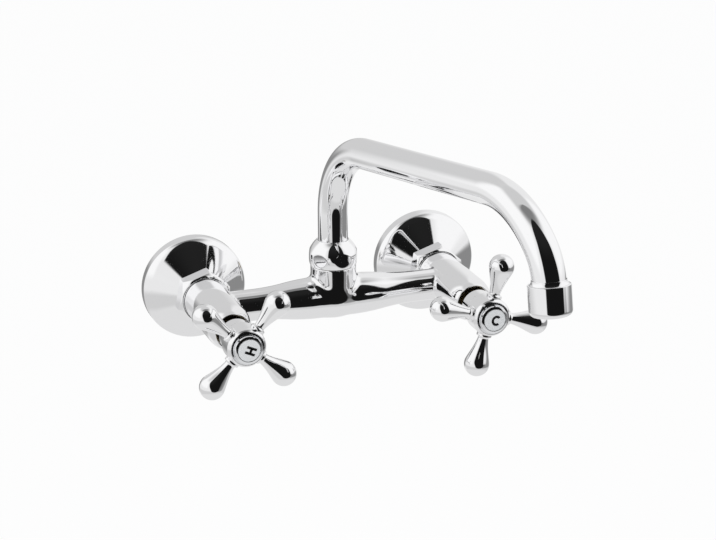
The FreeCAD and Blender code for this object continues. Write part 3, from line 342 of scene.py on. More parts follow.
def mattFinish(name, colour, second, metallic, roughness, grain, grainDepth):
    # a base colour mottled with a second one, on a grain in millimetres
    material, tree = blankMaterial(name)
    grains = grainNoise(tree, grain, {"Detail": 3.0})
    tones = addNode(tree, "ShaderNodeValToRGB", links={"Fac": grains})
    low, high = tones.color_ramp.elements
    low.position, low.color = 0.25, linear(second)
    high.position, high.color = 0.6, linear(colour)
    spread = addNode(
        tree,
        "ShaderNodeMapRange",
        {"To Min": roughness * 0.85, "To Max": min(1.0, roughness * 1.2)},
        {"Value": grains},
    )
    bump = grainBump(tree, 0.6, grainDepth, grains)
    links = {"Base Color": tones.outputs["Color"], "Roughness": spread.outputs["Result"], "Normal": bump}
    body = addNode(tree, "ShaderNodeBsdfPrincipled", {"Metallic": metallic}, links)
    addNode(tree, "ShaderNodeOutputMaterial", links={"Surface": body.outputs[0]})
    return material


finishes = {
    # bright chrome over polished cast brass: mirror sharp, with the slow ripple that hand polishing leaves
    "chrome_casting": chromeFinish("chromedCastBrass", "#FAFAFB", 0.028, 22.0, 0.012, 3.0, 0.0006),
    # chrome over thin spun brass: the flange shows softer, longer waves
    "chrome_pressing": chromeFinish("chromedSpunBrass", "#FAFAFB", 0.035, 30.0, 0.02, 3.0, 0.0006),
    # chrome over turned brass: the crispest mirror, hardly any ripple
    "chrome_machined": chromeFinish("chromedTurnedBrass", "#FAFAFB", 0.022, 16.0, 0.004, 2.4, 0.0005),
    # chrome over drawn brass tube: straight clean stripes of light
    "chrome_tube": chromeFinish("chromedDrawnTube", "#FAFAFB", 0.022, 40.0, 0.01, 3.0, 0.0005),
    # chrome on moulded ABS: a touch darker and softer than plated brass
    "chrome_plastic": chromeFinish("chromedABS", "#F2F3F5", 0.045, 8.0, 0.004, 2.0, 0.0006),
    # bare turned brass gone dull: a grey yellow, satin, patchy
    "plain_brass": mattFinish("turnedBrass", "#A1957A", "#7F755E", 1.0, 0.24, 2.5, 0.001),
    # stainless screws: grey satin
    "screw_steel": mattFinish("stainlessSteel", "#A9ABAE", "#8E9094", 1.0, 0.32, 0.8, 0.002),
    # blued spring steel clip: dark with a dull gloss
    "spring_steel": mattFinish("springSteel", "#5B5E63", "#3F4247", 1.0, 0.38, 0.8, 0.002),
    # nitrile rubber: near black and matt, faintly dusty
    "seal_rubber": mattFinish("nitrileRubber", "#1A1A1B", "#262627", 0.0, 0.68, 0.7, 0.006),
    # pressed fibre washer: brick red board with short fibres
    "seal_fibre": mattFinish("vulcanisedFibre", "#8A4632", "#6F3526", 0.0, 0.75, 0.5, 0.01),
    # acetal slide ring: milky, waxy
    "slide_plastic": mattFinish("acetal", "#E6E4DC", "#DAD7CC", 0.0, 0.42, 1.0, 0.002),
    # silver lacquer on the index disc: pale grey with a fine satin grain, 0.35 mm so that it shows
    "index_plastic": mattFinish("silverLacquer", "#E9EAEB", "#DDDEDF", 0.0, 0.38, 0.35, 0.003),
}
# enamel filled into the letters: black, slightly glossy
letterInk = mattFinish("blackEnamel", "#0B0B0C", "#151516", 0.0, 0.35, 0.5, 0.002)


def dressNodes():
    slots = {part["node"]: part["material_slot"] for part in frame["record"]["subparts"]}
    for name, node in frame["nodes"].items():
        for holder in node.material_slots:
            holder.material = finishes[slots[name]]


dressNodes()
print("finishes ready")


# ---- shape helpers


def softCorners(corners, steps=4):
    # a closed outline whose corners (across, along, rounding) are rounded with short arcs
    out = []
    count = len(corners)
    for index, corner in enumerate(corners):
        point = Vector(corner[:2])
        rounding = corner[2] if len(corner) > 2 else 0
        if not rounding:
            out.append(tuple(point))
            continue
        before = (Vector(corners[index - 1][:2]) - point).normalized()
        after = (Vector(corners[(index + 1) % count][:2]) - point).normalized()
        angle = before.angle(after)
        start = point + before * rounding / math.tan(angle / 2)
        centre = point + (before + after).normalized() * rounding / math.sin(angle / 2)
        arm = start - centre
        turn = math.pi - angle
        if before.x * after.y - before.y * after.x > 0:
            turn = -turn
        for k in range(steps + 1):
            t = turn * k / steps
            c, s = math.cos(t), math.sin(t)
            out.append((centre.x + arm.x * c - arm.y * s, centre.y + arm.x * s + arm.y * c))
    return out


def bowed(start, end, radius, steps=12):
    # points of an arc from start to end, start left out; a positive radius has its centre on the left
    a, b = Vector(start), Vector(end)
    chord = b - a
    middle = (a + b) / 2
    side = Vector((-chord.y, chord.x)).normalized()
    lift = math.sqrt(radius * radius - chord.length_squared / 4)
    centre = middle + side * math.copysign(lift, radius)
    first = math.atan2(a.y - centre.y, a.x - centre.x)
    r = abs(radius)
    sweep = math.copysign(2 * math.asin(chord.length / 2 / r), radius)
    return [
        (centre.x + r * math.cos(first + sweep * k / steps), centre.y + r * math.sin(first + sweep * k / steps))
        for k in range(1, steps + 1)
    ]


def lathe(outline, place, segments=112, closed=True):
    # turn an outline of (radius, height) about place's own Z axis
    angles = (np.arange(segments) * math.tau / segments)[:, None]
    radius, height = np.array(outline).T
    verts = np.stack([np.cos(angles) * radius, np.sin(angles) * radius, height + 0 * angles], axis=-1)
    return gridShell(verts, place, closed)


def gridShell(verts, place, closed):
    segments, count = verts.shape[:2]
    flat = verts.reshape(-1, 3) * mm
    turned = flat @ np.array(place.to_3x3()).T + np.array(place.translation)
    faces = []
    last = count if closed else count - 1
    for i in range(segments):
        a, b = i * count, (i + 1) % segments * count
        for j in range(last):
            k = (j + 1) % count
            faces.append((a + j, b + j, b + k, a + k))
    return turned, faces


def readAll(items, name, width=1, kind=float):
    values = np.zeros(len(items) * width, kind)
    items.foreach_get(name, values)
    return values


def faceWeighted(mesh):
    # soft shading that leans on the larger faces, so flats stay flat beside their rounded edges
    sums = np.zeros((len(mesh.vertices), 3))
    weighted = readAll(mesh.polygons, "normal", 3).reshape(-1, 3) * readAll(mesh.polygons, "area")[:, None]
    totals = readAll(mesh.polygons, "loop_total", 1, int)
    owner = np.repeat(np.arange(len(totals)), totals)
    np.add.at(sums, readAll(mesh.loops, "vertex_index", 1, int), weighted[owner])
    lengths = np.linalg.norm(sums, axis=1)
    sums[lengths == 0] = (0, 0, 1)
    lengths[lengths == 0] = 1
    mesh.normals_split_custom_set_from_vertices(sums / lengths[:, None])


def finishPiece(body, slot, bodyName, nodes, weighted=True):
    # smooth shading, plating, and what the piece rides on and stands for
    mesh = body.data
    mesh.materials.clear()
    mesh.materials.append(finishes[slot])
    mesh.polygons.foreach_set("use_smooth", [True] * len(mesh.polygons))
    mesh.polygons.foreach_set("material_index", [0] * len(mesh.polygons))
    if weighted:
        faceWeighted(mesh)
    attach(body, bodyName)
    if nodes:
        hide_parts(*nodes)
    return body


def cleanMesh(name, shells):
    # closed shells in one mesh: doubles merged, then faces turned outwards
    work = bmesh.new()
    for verts, faces in shells:
        placed = [work.verts.new(v) for v in verts]
        for face in faces:
            work.faces.new([placed[k] for k in face])
    bmesh.ops.remove_doubles(work, verts=work.verts, dist=mergeWithin)
    bmesh.ops.recalc_face_normals(work, faces=work.faces)
    mesh = bpy.data.meshes.new(name)
    work.to_mesh(mesh)
    work.free()
    return mesh


def solid(name, shells, slot, bodyName, nodes):
    return finishPiece(addBody(name, cleanMesh(name, shells)), slot, bodyName, nodes)


def barrelPlace(side):  # a barrel's own frame: Z away from the wall, X to the right, Y up
    x = tap["barrelX"] * (-1 if side == "hot" else 1) * mm
    return Matrix(((1, 0, 0, x), (0, 0, -1, 0), (0, 1, 0, 0), (0, 0, 0, 1)))


def handlePlace(side):
    return barrelPlace(side) @ Matrix.Rotation(math.radians(tap[side + "Turn"]), 4, "Z")


spoutBase = Matrix.Translation((0, -tap["bridgeOut"] * mm, 0))


# ---- wall flanges

flange = {
    "radius": 32.0,
    "rounding": 3.7,
    "slope": 34.2,  # degrees from the wall: the flare is a straight cone
    "neck": 13.33,
    "bend": 28.3,  # past this radius the flare turns down slowly, then rounds into the rim
    "bendCurve": 16.0,
    "bendEnd": 47.0,
    "depth": 20.25,
    "wall": 1.2,
    "wallInset": (0.672, 0.996),  # the flare's wall, across and along the barrel
    "bore": 13.3,
    "boreDepth": 3.0,
    "chamfer": 0.3,
}


def buildFlange(side, f=flange):
    slope, end = math.radians(f["slope"]), math.radians(f["bendEnd"])
    run = f["bend"] - f["neck"]
    foot = f["depth"] - run * math.tan(slope)
    centre = (f["bend"] - f["bendCurve"] * math.sin(slope), foot - f["bendCurve"] * math.cos(slope))
    edge = (centre[0] + f["bendCurve"] * math.sin(end), centre[1] + f["bendCurve"] * math.cos(end))
    rim = f["radius"] - f["rounding"]
    outer = [(f["radius"], f["chamfer"]), (f["radius"], edge[1] - f["rounding"] * math.cos(end))]
    flare = bowed(outer[-1], (rim + f["rounding"] * math.sin(end), edge[1]), f["rounding"], 16)
    outer += flare[:-2]
    flare = flare[-2:] + bowed(flare[-1], (f["bend"], foot), f["bendCurve"], 12)
    flare += [(f["bend"] - run * k / 8, foot + (f["depth"] - foot) * k / 8) for k in range(1, 8)]
    outer += flare + [(f["neck"] + 0.3, f["depth"] - 0.2), (f["neck"] - 0.2, f["depth"])]
    inner = [(f["bore"], f["depth"]), (f["bore"], f["depth"] - f["boreDepth"])]
    inner += [(r - f["wallInset"][0], h - f["wallInset"][1]) for r, h in reversed(flare[:-1])]
    inner += [(f["radius"] - f["wall"], outer[1][1] - 0.5), (f["radius"] - f["wall"], 0)]
    shell = lathe(outer + inner + [(f["radius"] - f["chamfer"], 0)], barrelPlace(side), 128)
    solid(f"{side}FlangeShell", [shell], "chrome_pressing", "tap_body", [f"{side}_wall_flange"])


# ---- union nuts

nut = {
    "flats": 30.0,
    "turn": 48.6,
    "back": 20.5,
    "front": 31.0,
    "faceRadius": 14.6,
    "domeHeight": 3.6,
    "bore": 11.06,
    "threadBore": 13.27,
    "threadEnd": 29.0,
    "cornerRounding": 0.5,
    "edgeRounding": 0.35,
    "chamfer": 0.5,
    "fullness": 0.12,  # how far the dome swells past a straight cone
    "step": 0.9,
}


def buildUnionNut(side, f=nut):
    corner = f["flats"] / math.sqrt(3)
    hexagon = []
    for k in range(6):
        t = math.radians(f["turn"] + 30 + 60 * k)
        hexagon.append((corner * math.cos(t), corner * math.sin(t), f["cornerRounding"]))
    rounded = softCorners(hexagon)
    edge = []
    for index, point in enumerate(rounded):
        following = Vector(rounded[(index + 1) % len(rounded)])
        gap = following - Vector(point)
        pieces = max(1, round(gap.length / f["step"]))
        edge += [Vector(point) + gap * k / pieces for k in range(pieces)]
    slope = f["domeHeight"] / (corner - f["faceRadius"])
    rows = []
    for point in edge:
        reach = point.length
        meets = f["front"] - max(0.0, reach - f["faceRadius"]) * slope
        middle = ((reach + f["faceRadius"]) / 2 + f["fullness"], (meets + f["front"]) / 2 + f["fullness"])
        profile = softCorners(
            [
                (f["bore"], f["front"]),
                (f["faceRadius"] - f["chamfer"], f["front"], 0.3),
                middle,
                (reach, meets - 0.25, f["edgeRounding"]),
                (reach, f["back"] + f["chamfer"], 0.3),
                (reach - f["chamfer"], f["back"]),
                (f["threadBore"], f["back"]),
                (f["threadBore"], f["threadEnd"]),
                (f["bore"], f["threadEnd"]),
            ]
        )
        unit = point.normalized()
        rows.append([(unit.x * r, unit.y * r, h) for r, h in profile])
    shell = gridShell(np.array(rows), barrelPlace(side), True)
    solid(f"{side}UnionNut", [shell], "chrome_machined", "tap_body", [f"{side}_union_nut"])


# ---- mixer casting: two turned barrels and the bridge between them

barrel = {
    "start": 31.2,
    "radius": 13.5,
    "shoulder": 79.5,
    "end": 90.5,
    "mouth": 10.9,
    "recess": 9.45,
    "recessDepth": 8.0,
    "threadBore": 8.38,
    "threadStart": 65.0,
    "chamber": 9.0,
    "socket": 11.05,
    "socketEnd": 38.4,
    "rearEdge": 0.35,
    "frontEdge": 0.45,
    "recessEdge": 0.25,
}

bridge = {
    "hub": 13.75,
    "hubDome": 12.5,
    "crown": 12.6,
    "crownHalf": 10.0,
    "arm": 9.5,
    "sweepEnd": 51.0,
    "hubTop": 20.2,
    "fillet": 3.0,
    "cell": 0.5,
    "blur": 0.75,
    "blurCells": 4,
    "blurLoss": 0.9,  # blurring shrinks a round bar by about this share of the plain estimate
    "blurTop": 17.0,
    "blurFade": 1.5,
    "lidRounding": 0.4,
    "reach": 65.8,
    "halfDepth": 14.6,
}


def buildBarrel(side, f=barrel):
    drop, run = f["radius"] - f["mouth"], f["end"] - f["shoulder"]
    sweep = (drop * drop + run * run) / (2 * drop)
    floor = f["end"] - f["recessDepth"]
    rear, recess = f["rearEdge"], f["recessEdge"]
    bowEnd = (f["mouth"] + 0.12, f["end"] - 0.5)
    outline = [(f["socket"], f["start"]), (f["radius"] - rear, f["start"])]
    outline += bowed(outline[-1], (f["radius"], f["start"] + rear), rear, 5)
    outline += [(f["radius"], f["shoulder"])]
    outline += bowed(outline[-1], bowEnd, sweep, 24)
    outline += bowed(bowEnd, (f["mouth"] - 0.4, f["end"]), f["frontEdge"], 5)
    outline += bowed((f["recess"] + recess, f["end"]), (f["recess"], f["end"] - recess), recess, 3)
    outline += [(f["recess"], floor), (f["threadBore"], floor), (f["threadBore"], f["threadStart"])]
    outline += [(f["chamber"], f["threadStart"]), (f["chamber"], f["socketEnd"]), (f["socket"], f["socketEnd"])]
    return lathe(outline, barrelPlace(side), 144)


def bridgeField(f=bridge, b=barrel):
    # the grid's first corner and signed distances: arms, hub and the barrels' walls
    cell = f["cell"]
    xs = np.arange(-f["reach"] - 2, f["reach"] + 2 + cell, cell)
    ys = np.arange(-f["halfDepth"] - 2, f["halfDepth"] + 2 + cell, cell)
    zs = np.arange(-f["hub"] - 2.5, f["hubTop"] + 2.5, cell)
    x, y, z = np.meshgrid(xs, ys, zs, indexing="ij", sparse=True)
    far = np.abs(x)
    drop, run = f["crown"] - f["arm"], f["sweepEnd"] - f["crownHalf"]
    curve = (drop * drop + run * run) / (4 * drop)
    along = np.clip(far - f["crownHalf"], 0, run)
    first = f["crown"] - curve + np.sqrt(np.maximum(curve * curve - along * along, 0))
    rest = run - along
    second = f["arm"] + curve - np.sqrt(np.maximum(curve * curve - rest * rest, 0))
    radius = np.where(along < run / 2, first, second)
    arms = np.sqrt(y * y + z * z) - radius
    low = np.minimum(z, 0) * f["hub"] / f["hubDome"]
    hub = np.sqrt(x * x + y * y + low * low) - f["hub"]  # an upright post with a rounded foot
    walls = np.sqrt((far - tap["barrelX"]) ** 2 + z * z + 0 * y) - b["radius"]
    near = np.clip(0.5 + 0.5 * (hub - arms) / f["fillet"], 0, 1)
    body = hub + (arms - hub) * near - f["fillet"] * near * (1 - near)
    body = np.minimum(body, walls)
    soft = body
    span = f["blurCells"]
    taps = np.arange(-span, span + 1) * cell
    weights = np.exp(-(taps**2) / (2 * f["blur"] ** 2))
    weights /= weights.sum()
    for axis in range(3):
        padded = np.pad(soft, [(span, span) if a == axis else (0, 0) for a in range(3)], mode="edge")
        soft = sum(w * np.take(padded, np.arange(soft.shape[axis]) + k, axis=axis) for k, w in enumerate(weights))
    soft = soft - f["blur"] ** 2 / 2 / f["crown"] * f["blurLoss"]
    body = soft + (body - soft) * smooth(f["blurTop"], f["blurTop"] + f["blurFade"], z)
    lid = z - f["hubTop"]
    side, top = body + f["lidRounding"], lid + f["lidRounding"]
    corner = np.sqrt(np.maximum(side, 0) ** 2 + np.maximum(top, 0) ** 2)
    body = np.minimum(np.maximum(side, top), 0) + corner - f["lidRounding"]
    body = np.maximum(body, far - f["reach"])
    body = np.maximum(body, np.abs(y) - f["halfDepth"])
    return np.array([xs[0], ys[0], zs[0]]), body


def surfaceOf(start, cell, field):
    # one vertex in each cell that the surface crosses, and one face across each crossed grid edge
    inside = field < 0
    cells = [n - 1 for n in field.shape]
    total = np.zeros((*cells, 3))
    hits = np.zeros(cells)
    for a in np.ndindex(2, 2, 2):
        for axis in range(3):
            if a[axis]:
                continue
            b = tuple(c + (1 if n == axis else 0) for n, c in enumerate(a))
            fa, fb = (field[tuple(slice(c, n + c) for c, n in zip(corner, cells))] for corner in (a, b))
            crossed = (fa < 0) != (fb < 0)
            share = np.where(crossed, fa / np.where(crossed, fa - fb, 1), 0)
            for n in range(3):
                at = a[n] + (share if n == axis else 0)
                total[..., n] += np.where(crossed, at, 0)
            hits += crossed
    active = hits > 0
    number = np.full(active.shape, -1)
    number[active] = np.arange(active.sum())
    where = np.argwhere(active)
    local = total[active] / hits[active][:, None]
    places = start + (where + local) * cell
    faces = []
    for axis in range(3):
        u, v = [n for n in range(3) if n != axis]
        spots = np.argwhere(np.diff(inside, axis=axis))
        spots = spots[(spots[:, u] > 0) & (spots[:, v] > 0)]
        spots = spots[(spots[:, u] < field.shape[u] - 1) & (spots[:, v] < field.shape[v] - 1)]
        quad = []
        for du, dv in ((1, 1), (0, 1), (0, 0), (1, 0)):
            cellAt = spots.copy()
            cellAt[:, u] -= du
            cellAt[:, v] -= dv
            quad.append(number[tuple(cellAt.T)])
        faces.append(np.stack(quad, axis=1))
    return places, np.concatenate(faces)


def slopesAt(start, cell, field, places):
    # the field's slope at each place, read between grid points: the exact shading normals
    slopes = np.stack(np.gradient(field, cell), axis=-1)
    at = (places - start) / cell
    low = np.clip(np.floor(at).astype(int), 0, np.array(field.shape) - 2)
    t = at - low
    out = np.zeros_like(places)
    for step in np.ndindex(2, 2, 2):
        weight = np.prod(np.where(step, t, 1 - t), axis=1)
        out += slopes[tuple((low + step).T)] * weight[:, None]
    return out / np.maximum(np.linalg.norm(out, axis=1), 1e-9)[:, None]


def buildCasting():
    start, field = bridgeField()
    places, faces = surfaceOf(start, bridge["cell"], field)
    normals = slopesAt(start, bridge["cell"], field, places)
    quads = places[faces]
    turned = np.cross(quads[:, 1] - quads[:, 0], quads[:, 2] - quads[:, 0])
    flip = (turned * normals[faces[:, 0]]).sum(axis=1) < 0
    faces[flip] = faces[flip][:, ::-1]
    mesh = bpy.data.meshes.new("bridge")
    mesh.from_pydata(places * mm + np.array(spoutBase.translation), [], faces.tolist())
    mesh.polygons.foreach_set("use_smooth", [True] * len(mesh.polygons))
    mesh.normals_split_custom_set_from_vertices(normals)
    mesh.update()
    print("bridge:", len(faces), "faces")
    finishPiece(addBody("mixerBridge", mesh), "chrome_casting", "tap_body", [], weighted=False)
    shells = [buildBarrel("hot"), buildBarrel("cold")]
    solid("mixerBarrels", shells, "chrome_casting", "tap_body", ["mixer_body"])


# ---- spout: collar nut, bent tube, outlet

collar = {
    "foot": 20.4,
    "footRadius": 14.0,
    "band": 8.0,
    "bandCurve": 13.4,
    "shoulder": 14.9,
    "domeCurve": 21.5,
    "height": 15.7,
    "lip": 9.9,
    "hole": 9.06,
    "holeDepth": 2.0,
    "bore": 11.85,
    "boreDepth": 5.0,
    "flats": 28.4,
    "turn": 37.0,
    "softness": 0.22,
}


def buildCollarNut(f=collar):
    foot, top = f["foot"], f["foot"] + f["height"]
    outer = [(f["footRadius"] - 0.4, foot)]
    outer += bowed(outer[0], (f["footRadius"], foot + 0.4), 0.42, 4)
    outer += bowed((f["footRadius"], foot + 0.4), (f["shoulder"], foot + f["band"]), f["bandCurve"], 34)
    outer += bowed(outer[-1], (f["lip"], top - 0.3), f["domeCurve"], 30)
    outer += bowed(outer[-1], (f["lip"] - 0.45, top), 0.5, 4)
    inner = [(f["hole"], top - 0.2), (f["hole"], top - f["holeDepth"])]
    inner += [(f["bore"], top - f["boreDepth"]), (f["bore"], foot)]
    angles = 300
    rows = []
    for i in range(angles):
        t = math.tau * i / angles
        off = (math.degrees(t) - f["turn"]) % 60
        off = math.radians(min(off, 60 - off))
        flat = f["flats"] / 2 / math.cos(off)
        row = []
        for r, h in outer:
            mix = max(0.0, min(1.0, 0.5 + (flat - r) / f["softness"] / 2))
            r = flat + (r - flat) * mix - f["softness"] * mix * (1 - mix)
            row.append((r, h))
        rows.append([(r * math.cos(t), r * math.sin(t), h) for r, h in row + inner])
    shell = gridShell(np.array(rows), spoutBase, True)
    solid("spoutCollarNut", [shell], "chrome_machined", "tap_body", ["spout_collar_nut"])


spout = {
    "radius": 9.0,
    "wall": 1.0,
    "foot": 20.5,
    "riserTop": 53.0,
    "riserBend": 46.0,
    "rise": 6.4,
    "run": 138.5,
    "dropBend": 63.0,
    "dropAngle": 51.0,
    "tipBend": 30.5,
    "tilt": 8.5,
    "insert": 7.0,
    "step": 1.2,
    "sides": 96,
    "endsApart": 50.0,  # a height between the tube's foot and its outlet end
}


def spoutLine(f=spout):
    # the tube's centre line as (reach, height): a straight riser, three bends and a straight run
    points = [(0.0, f["foot"]), (0.0, f["riserTop"])]
    heading = math.pi / 2
    tipTurn = -(90 - f["tilt"]) - (f["rise"] - f["dropAngle"])
    bends = [(f["rise"] - 90, f["riserBend"], f["run"]), (-f["dropAngle"], f["dropBend"], 0)]
    bends += [(tipTurn, f["tipBend"], 0)]
    for degrees, radius, straight in bends:  # all three turn downwards
        turn = math.radians(degrees)
        x, z = points[-1]
        centre = (x + radius * math.sin(heading), z - radius * math.cos(heading))
        steps = max(6, round(abs(turn) * radius / f["step"]))
        for k in range(1, steps + 1):
            t = heading + turn * k / steps
            points.append((centre[0] - radius * math.sin(t), centre[1] + radius * math.cos(t)))
        heading += turn
        if straight:
            x, z = points[-1]
            points.append((x + straight * math.cos(heading), z + straight * math.sin(heading)))
    rim = points[-1]
    points.append((rim[0] + f["insert"] * math.cos(heading), rim[1] + f["insert"] * math.sin(heading)))
    return points, rim, heading


def reachPoint(reach, height):
    t = math.radians(tap["swivel"])
    return Vector((reach * math.sin(t), -tap["bridgeOut"] - reach * math.cos(t), height)) * mm


def groupTree(name, sockets, result):
    # a geometry tree with its named inputs and its one output
    tree = bpy.data.node_groups.new(name, "GeometryNodeTree")
    for label, kind in sockets.items():
        tree.interface.new_socket(label, in_out="INPUT", socket_type="NodeSocket" + kind)
    tree.interface.new_socket(result, in_out="OUTPUT", socket_type="NodeSocketGeometry")
    return tree, addNode(tree, "NodeGroupInput").outputs


def plateTree(tree, made, plating, result):
    # the tree's end: copies made real, plated and handed out
    real = addNode(tree, "GeometryNodeRealizeInstances", links={0: made.outputs[0]})
    plated = addNode(tree, "GeometryNodeSetMaterial", links={"Geometry": real.outputs[0], "Material": plating})
    addNode(tree, "NodeGroupOutput", links={result: plated.outputs[0]})
    return tree


def tubeTree():
    # sweeps a round wall along a centre line: outside and inside, its ends still open
    sockets = {"Line": "Geometry", "Radius": "Float", "Wall": "Float", "Sides": "Int", "Plating": "Material"}
    tree, given = groupTree("bentTube", sockets, "Tube")
    line = addNode(tree, "GeometryNodeMeshToCurve", links={"Mesh": given["Line"]}).outputs[0]
    bore = addNode(tree, "ShaderNodeMath", {"operation": "SUBTRACT"}, {0: given["Radius"], 1: given["Wall"]})
    skins = []
    for radius in (given["Radius"], bore.outputs[0]):
        size = {"Resolution": given["Sides"], "Radius": radius}
        ring = addNode(tree, "GeometryNodeCurvePrimitiveCircle", links=size).outputs[0]
        skins.append(addNode(tree, "GeometryNodeCurveToMesh", links={"Curve": line, "Profile Curve": ring}))
    turned = addNode(tree, "GeometryNodeFlipFaces", links={"Mesh": skins[1].outputs[0]})
    both = addNode(tree, "GeometryNodeJoinGeometry")
    tree.links.new(skins[0].outputs[0], both.inputs[0])
    tree.links.new(turned.outputs[0], both.inputs[0])
    return plateTree(tree, both, given["Plating"], "Tube")


def runTree(name, tree, base, inputs):
    # give the tree its inputs by socket identifier, evaluate it once, and keep the result as a plain mesh
    body = addBody(name, base)
    modifier = body.modifiers.new(name, "NODES")
    modifier.node_group = tree
    sockets = {s.name: s.identifier for s in tree.interface.items_tree if s.in_out == "INPUT"}
    for label, value in inputs.items():
        modifier[sockets[label]] = value
    bpy.context.view_layer.update()
    graph = bpy.context.evaluated_depsgraph_get()
    made = bpy.data.meshes.new_from_object(body.evaluated_get(graph), depsgraph=graph)
    body.modifiers.remove(modifier)
    body.data = made
    return body


def bridgeOpenEnds(body):
    # closes the tube's wall at both ends and merges what meets
    work = bmesh.new()
    work.from_mesh(body.data)
    bmesh.ops.remove_doubles(work, verts=work.verts, dist=mergeWithin)
    rims = [edge for edge in work.edges if edge.is_boundary]
    bmesh.ops.bridge_loops(work, edges=[e for e in rims if e.verts[0].co.z < spout["endsApart"] * mm])
    rims = [edge for edge in work.edges if edge.is_boundary]
    if rims:
        bmesh.ops.bridge_loops(work, edges=rims)
    bmesh.ops.recalc_face_normals(work, faces=work.faces)
    work.to_mesh(body.data)
    work.free()


def buildTube(f=spout):
    points = spoutLine()[0]
    mesh = bpy.data.meshes.new("spoutLine")
    mesh.from_pydata([reachPoint(*p) for p in points], [(k, k + 1) for k in range(len(points) - 1)], [])
    inputs = {"Radius": f["radius"] * mm, "Wall": f["wall"] * mm, "Sides": f["sides"]}
    body = runTree("spoutTube", tubeTree(), mesh, inputs | {"Plating": finishes["chrome_tube"]})
    bridgeOpenEnds(body)
    finishPiece(body, "chrome_tube", "spout", ["spout_tube"])


def outletPlace():
    # the outlet's own frame: on the housing's rim, its Z along the flow
    _, rim, heading = spoutLine()
    flow = (reachPoint(rim[0] + math.cos(heading), rim[1] + math.sin(heading)) - reachPoint(*rim)).normalized()
    side = flow.cross(Vector((0, 0, 1))).normalized()
    return Matrix.Translation(reachPoint(*rim)) @ Matrix((side, flow.cross(side), flow)).transposed().to_4x4()


outlet = {
    "sleeve": 9.02,
    "flare": 2.5,
    "flareRadius": 10.3,
    "thread": 10.5,
    "threadLength": 7.0,
    "housing": 11.4,
    "length": 16.5,
    "rounding": 3.2,
    "lipBore": 8.15,
    "lip": 1.6,
    "clearance": 0.05,
    "topEdge": 0.3,
    "lipEdge": 0.25,
}


def buildOutlet(f=outlet):
    place = outletPlace()
    ferrule = [(f["sleeve"] + 0.14, -f["flare"]), (f["sleeve"] + 0.3, -f["flare"])]
    ferrule += bowed(ferrule[-1], (f["flareRadius"], 0), -f["flare"] * 1.6, 10)
    ferrule += [(f["thread"], 0), (f["thread"], f["threadLength"])]
    ferrule += [(f["sleeve"], f["threadLength"]), (f["sleeve"], 0)]
    solid("outletFlare", [lathe(ferrule, place)], "chrome_machined", "spout", ["outlet_ferrule"])
    r, end = f["housing"], f["length"]
    thread, edge, lip = f["thread"] + f["clearance"], f["topEdge"], f["lipEdge"]
    shell = [(thread, 0), (r - edge, 0)]
    shell += bowed(shell[-1], (r, edge), edge, 4)
    shell += [(r, end - f["rounding"])]
    shell += bowed(shell[-1], (r - f["rounding"], end), f["rounding"], 12)
    shell += bowed((f["lipBore"] + lip, end), (f["lipBore"], end - lip), lip, 3)
    shell += [(f["lipBore"], end - f["lip"]), (thread, end - f["lip"])]
    solid("aeratorHousing", [lathe(shell, place, 128)], "chrome_machined", "spout", ["aerator_housing"])


# ---- headwork, handles and index buttons

bonnet = {"neck": 7.0, "neckEnd": 98.0, "hexEnd": 88.5, "hexRadius": 9.1, "start": 83.6, "bore": 5.9}

handle = {
    "skirtStart": 95.5,
    "skirt": 10.0,
    "skirtBore": 8.7,
    "hubStart": 103.8,
    "hubFull": 106.2,
    "hub": 11.6,
    "hubEnd": 120.4,
    "hubShoulder": (11.3, 118.8),  # where the hub's side turns into its steep front edge
    "hubFace": 9.98,
    "faceCurve": 6.0,
    "edge": 0.3,
    "webStart": 103.6,
    "webEnd": 112.0,
    "button": 9.85,
    "leverPlane": 114.0,
    "levers": 4,
    "reach": 30.4,
    "ball": 7.5,
    "root": 9.9,
    "collarEnd": 13.0,
    "collar": 4.5,
    "collarEdge": 0.6,
    "neckAt": 14.2,
    "neck": 3.15,
    "neckSweep": 0.95,
    "leave": 8.0,  # degrees: how the neck opens, then how it runs into the ball
    "arrive": 17.5,
    "pull": (0.38, 0.34),
}


def leverOutline(f=handle):
    # a teardrop lever lying along its own axis: a small collar, a slim neck and a ball
    points = [(0.0, f["root"]), (f["collar"], f["root"])]
    points += [(f["collar"], f["collarEnd"] - f["collarEdge"])]
    points += bowed(points[-1], (f["collar"] - f["collarEdge"], f["collarEnd"]), f["collarEdge"], 5)
    points += bowed(points[-1], (f["neck"], f["neckAt"]), -f["neckSweep"], 5)
    opens, blend = math.radians(f["leave"]), math.radians(f["arrive"])
    start = Vector(points[-1])
    end = Vector((f["ball"] * math.cos(blend), f["reach"] - f["ball"] * math.sin(blend)))
    span = (end - start).length
    leave = start + Vector((math.sin(opens), math.cos(opens))) * span * f["pull"][0]
    arrive = end - Vector((math.sin(blend), math.cos(blend))) * span * f["pull"][1]
    for k in range(1, 19):
        t = k / 18
        spot = start * (1 - t) ** 3 + leave * 3 * t * (1 - t) ** 2 + arrive * 3 * t * t * (1 - t) + end * t**3
        points.append(tuple(spot))
    for k in range(1, 21):
        t = -blend + (math.pi / 2 + blend) * k / 20
        points.append((f["ball"] * math.cos(t), f["reach"] + f["ball"] * math.sin(t)))
    return points


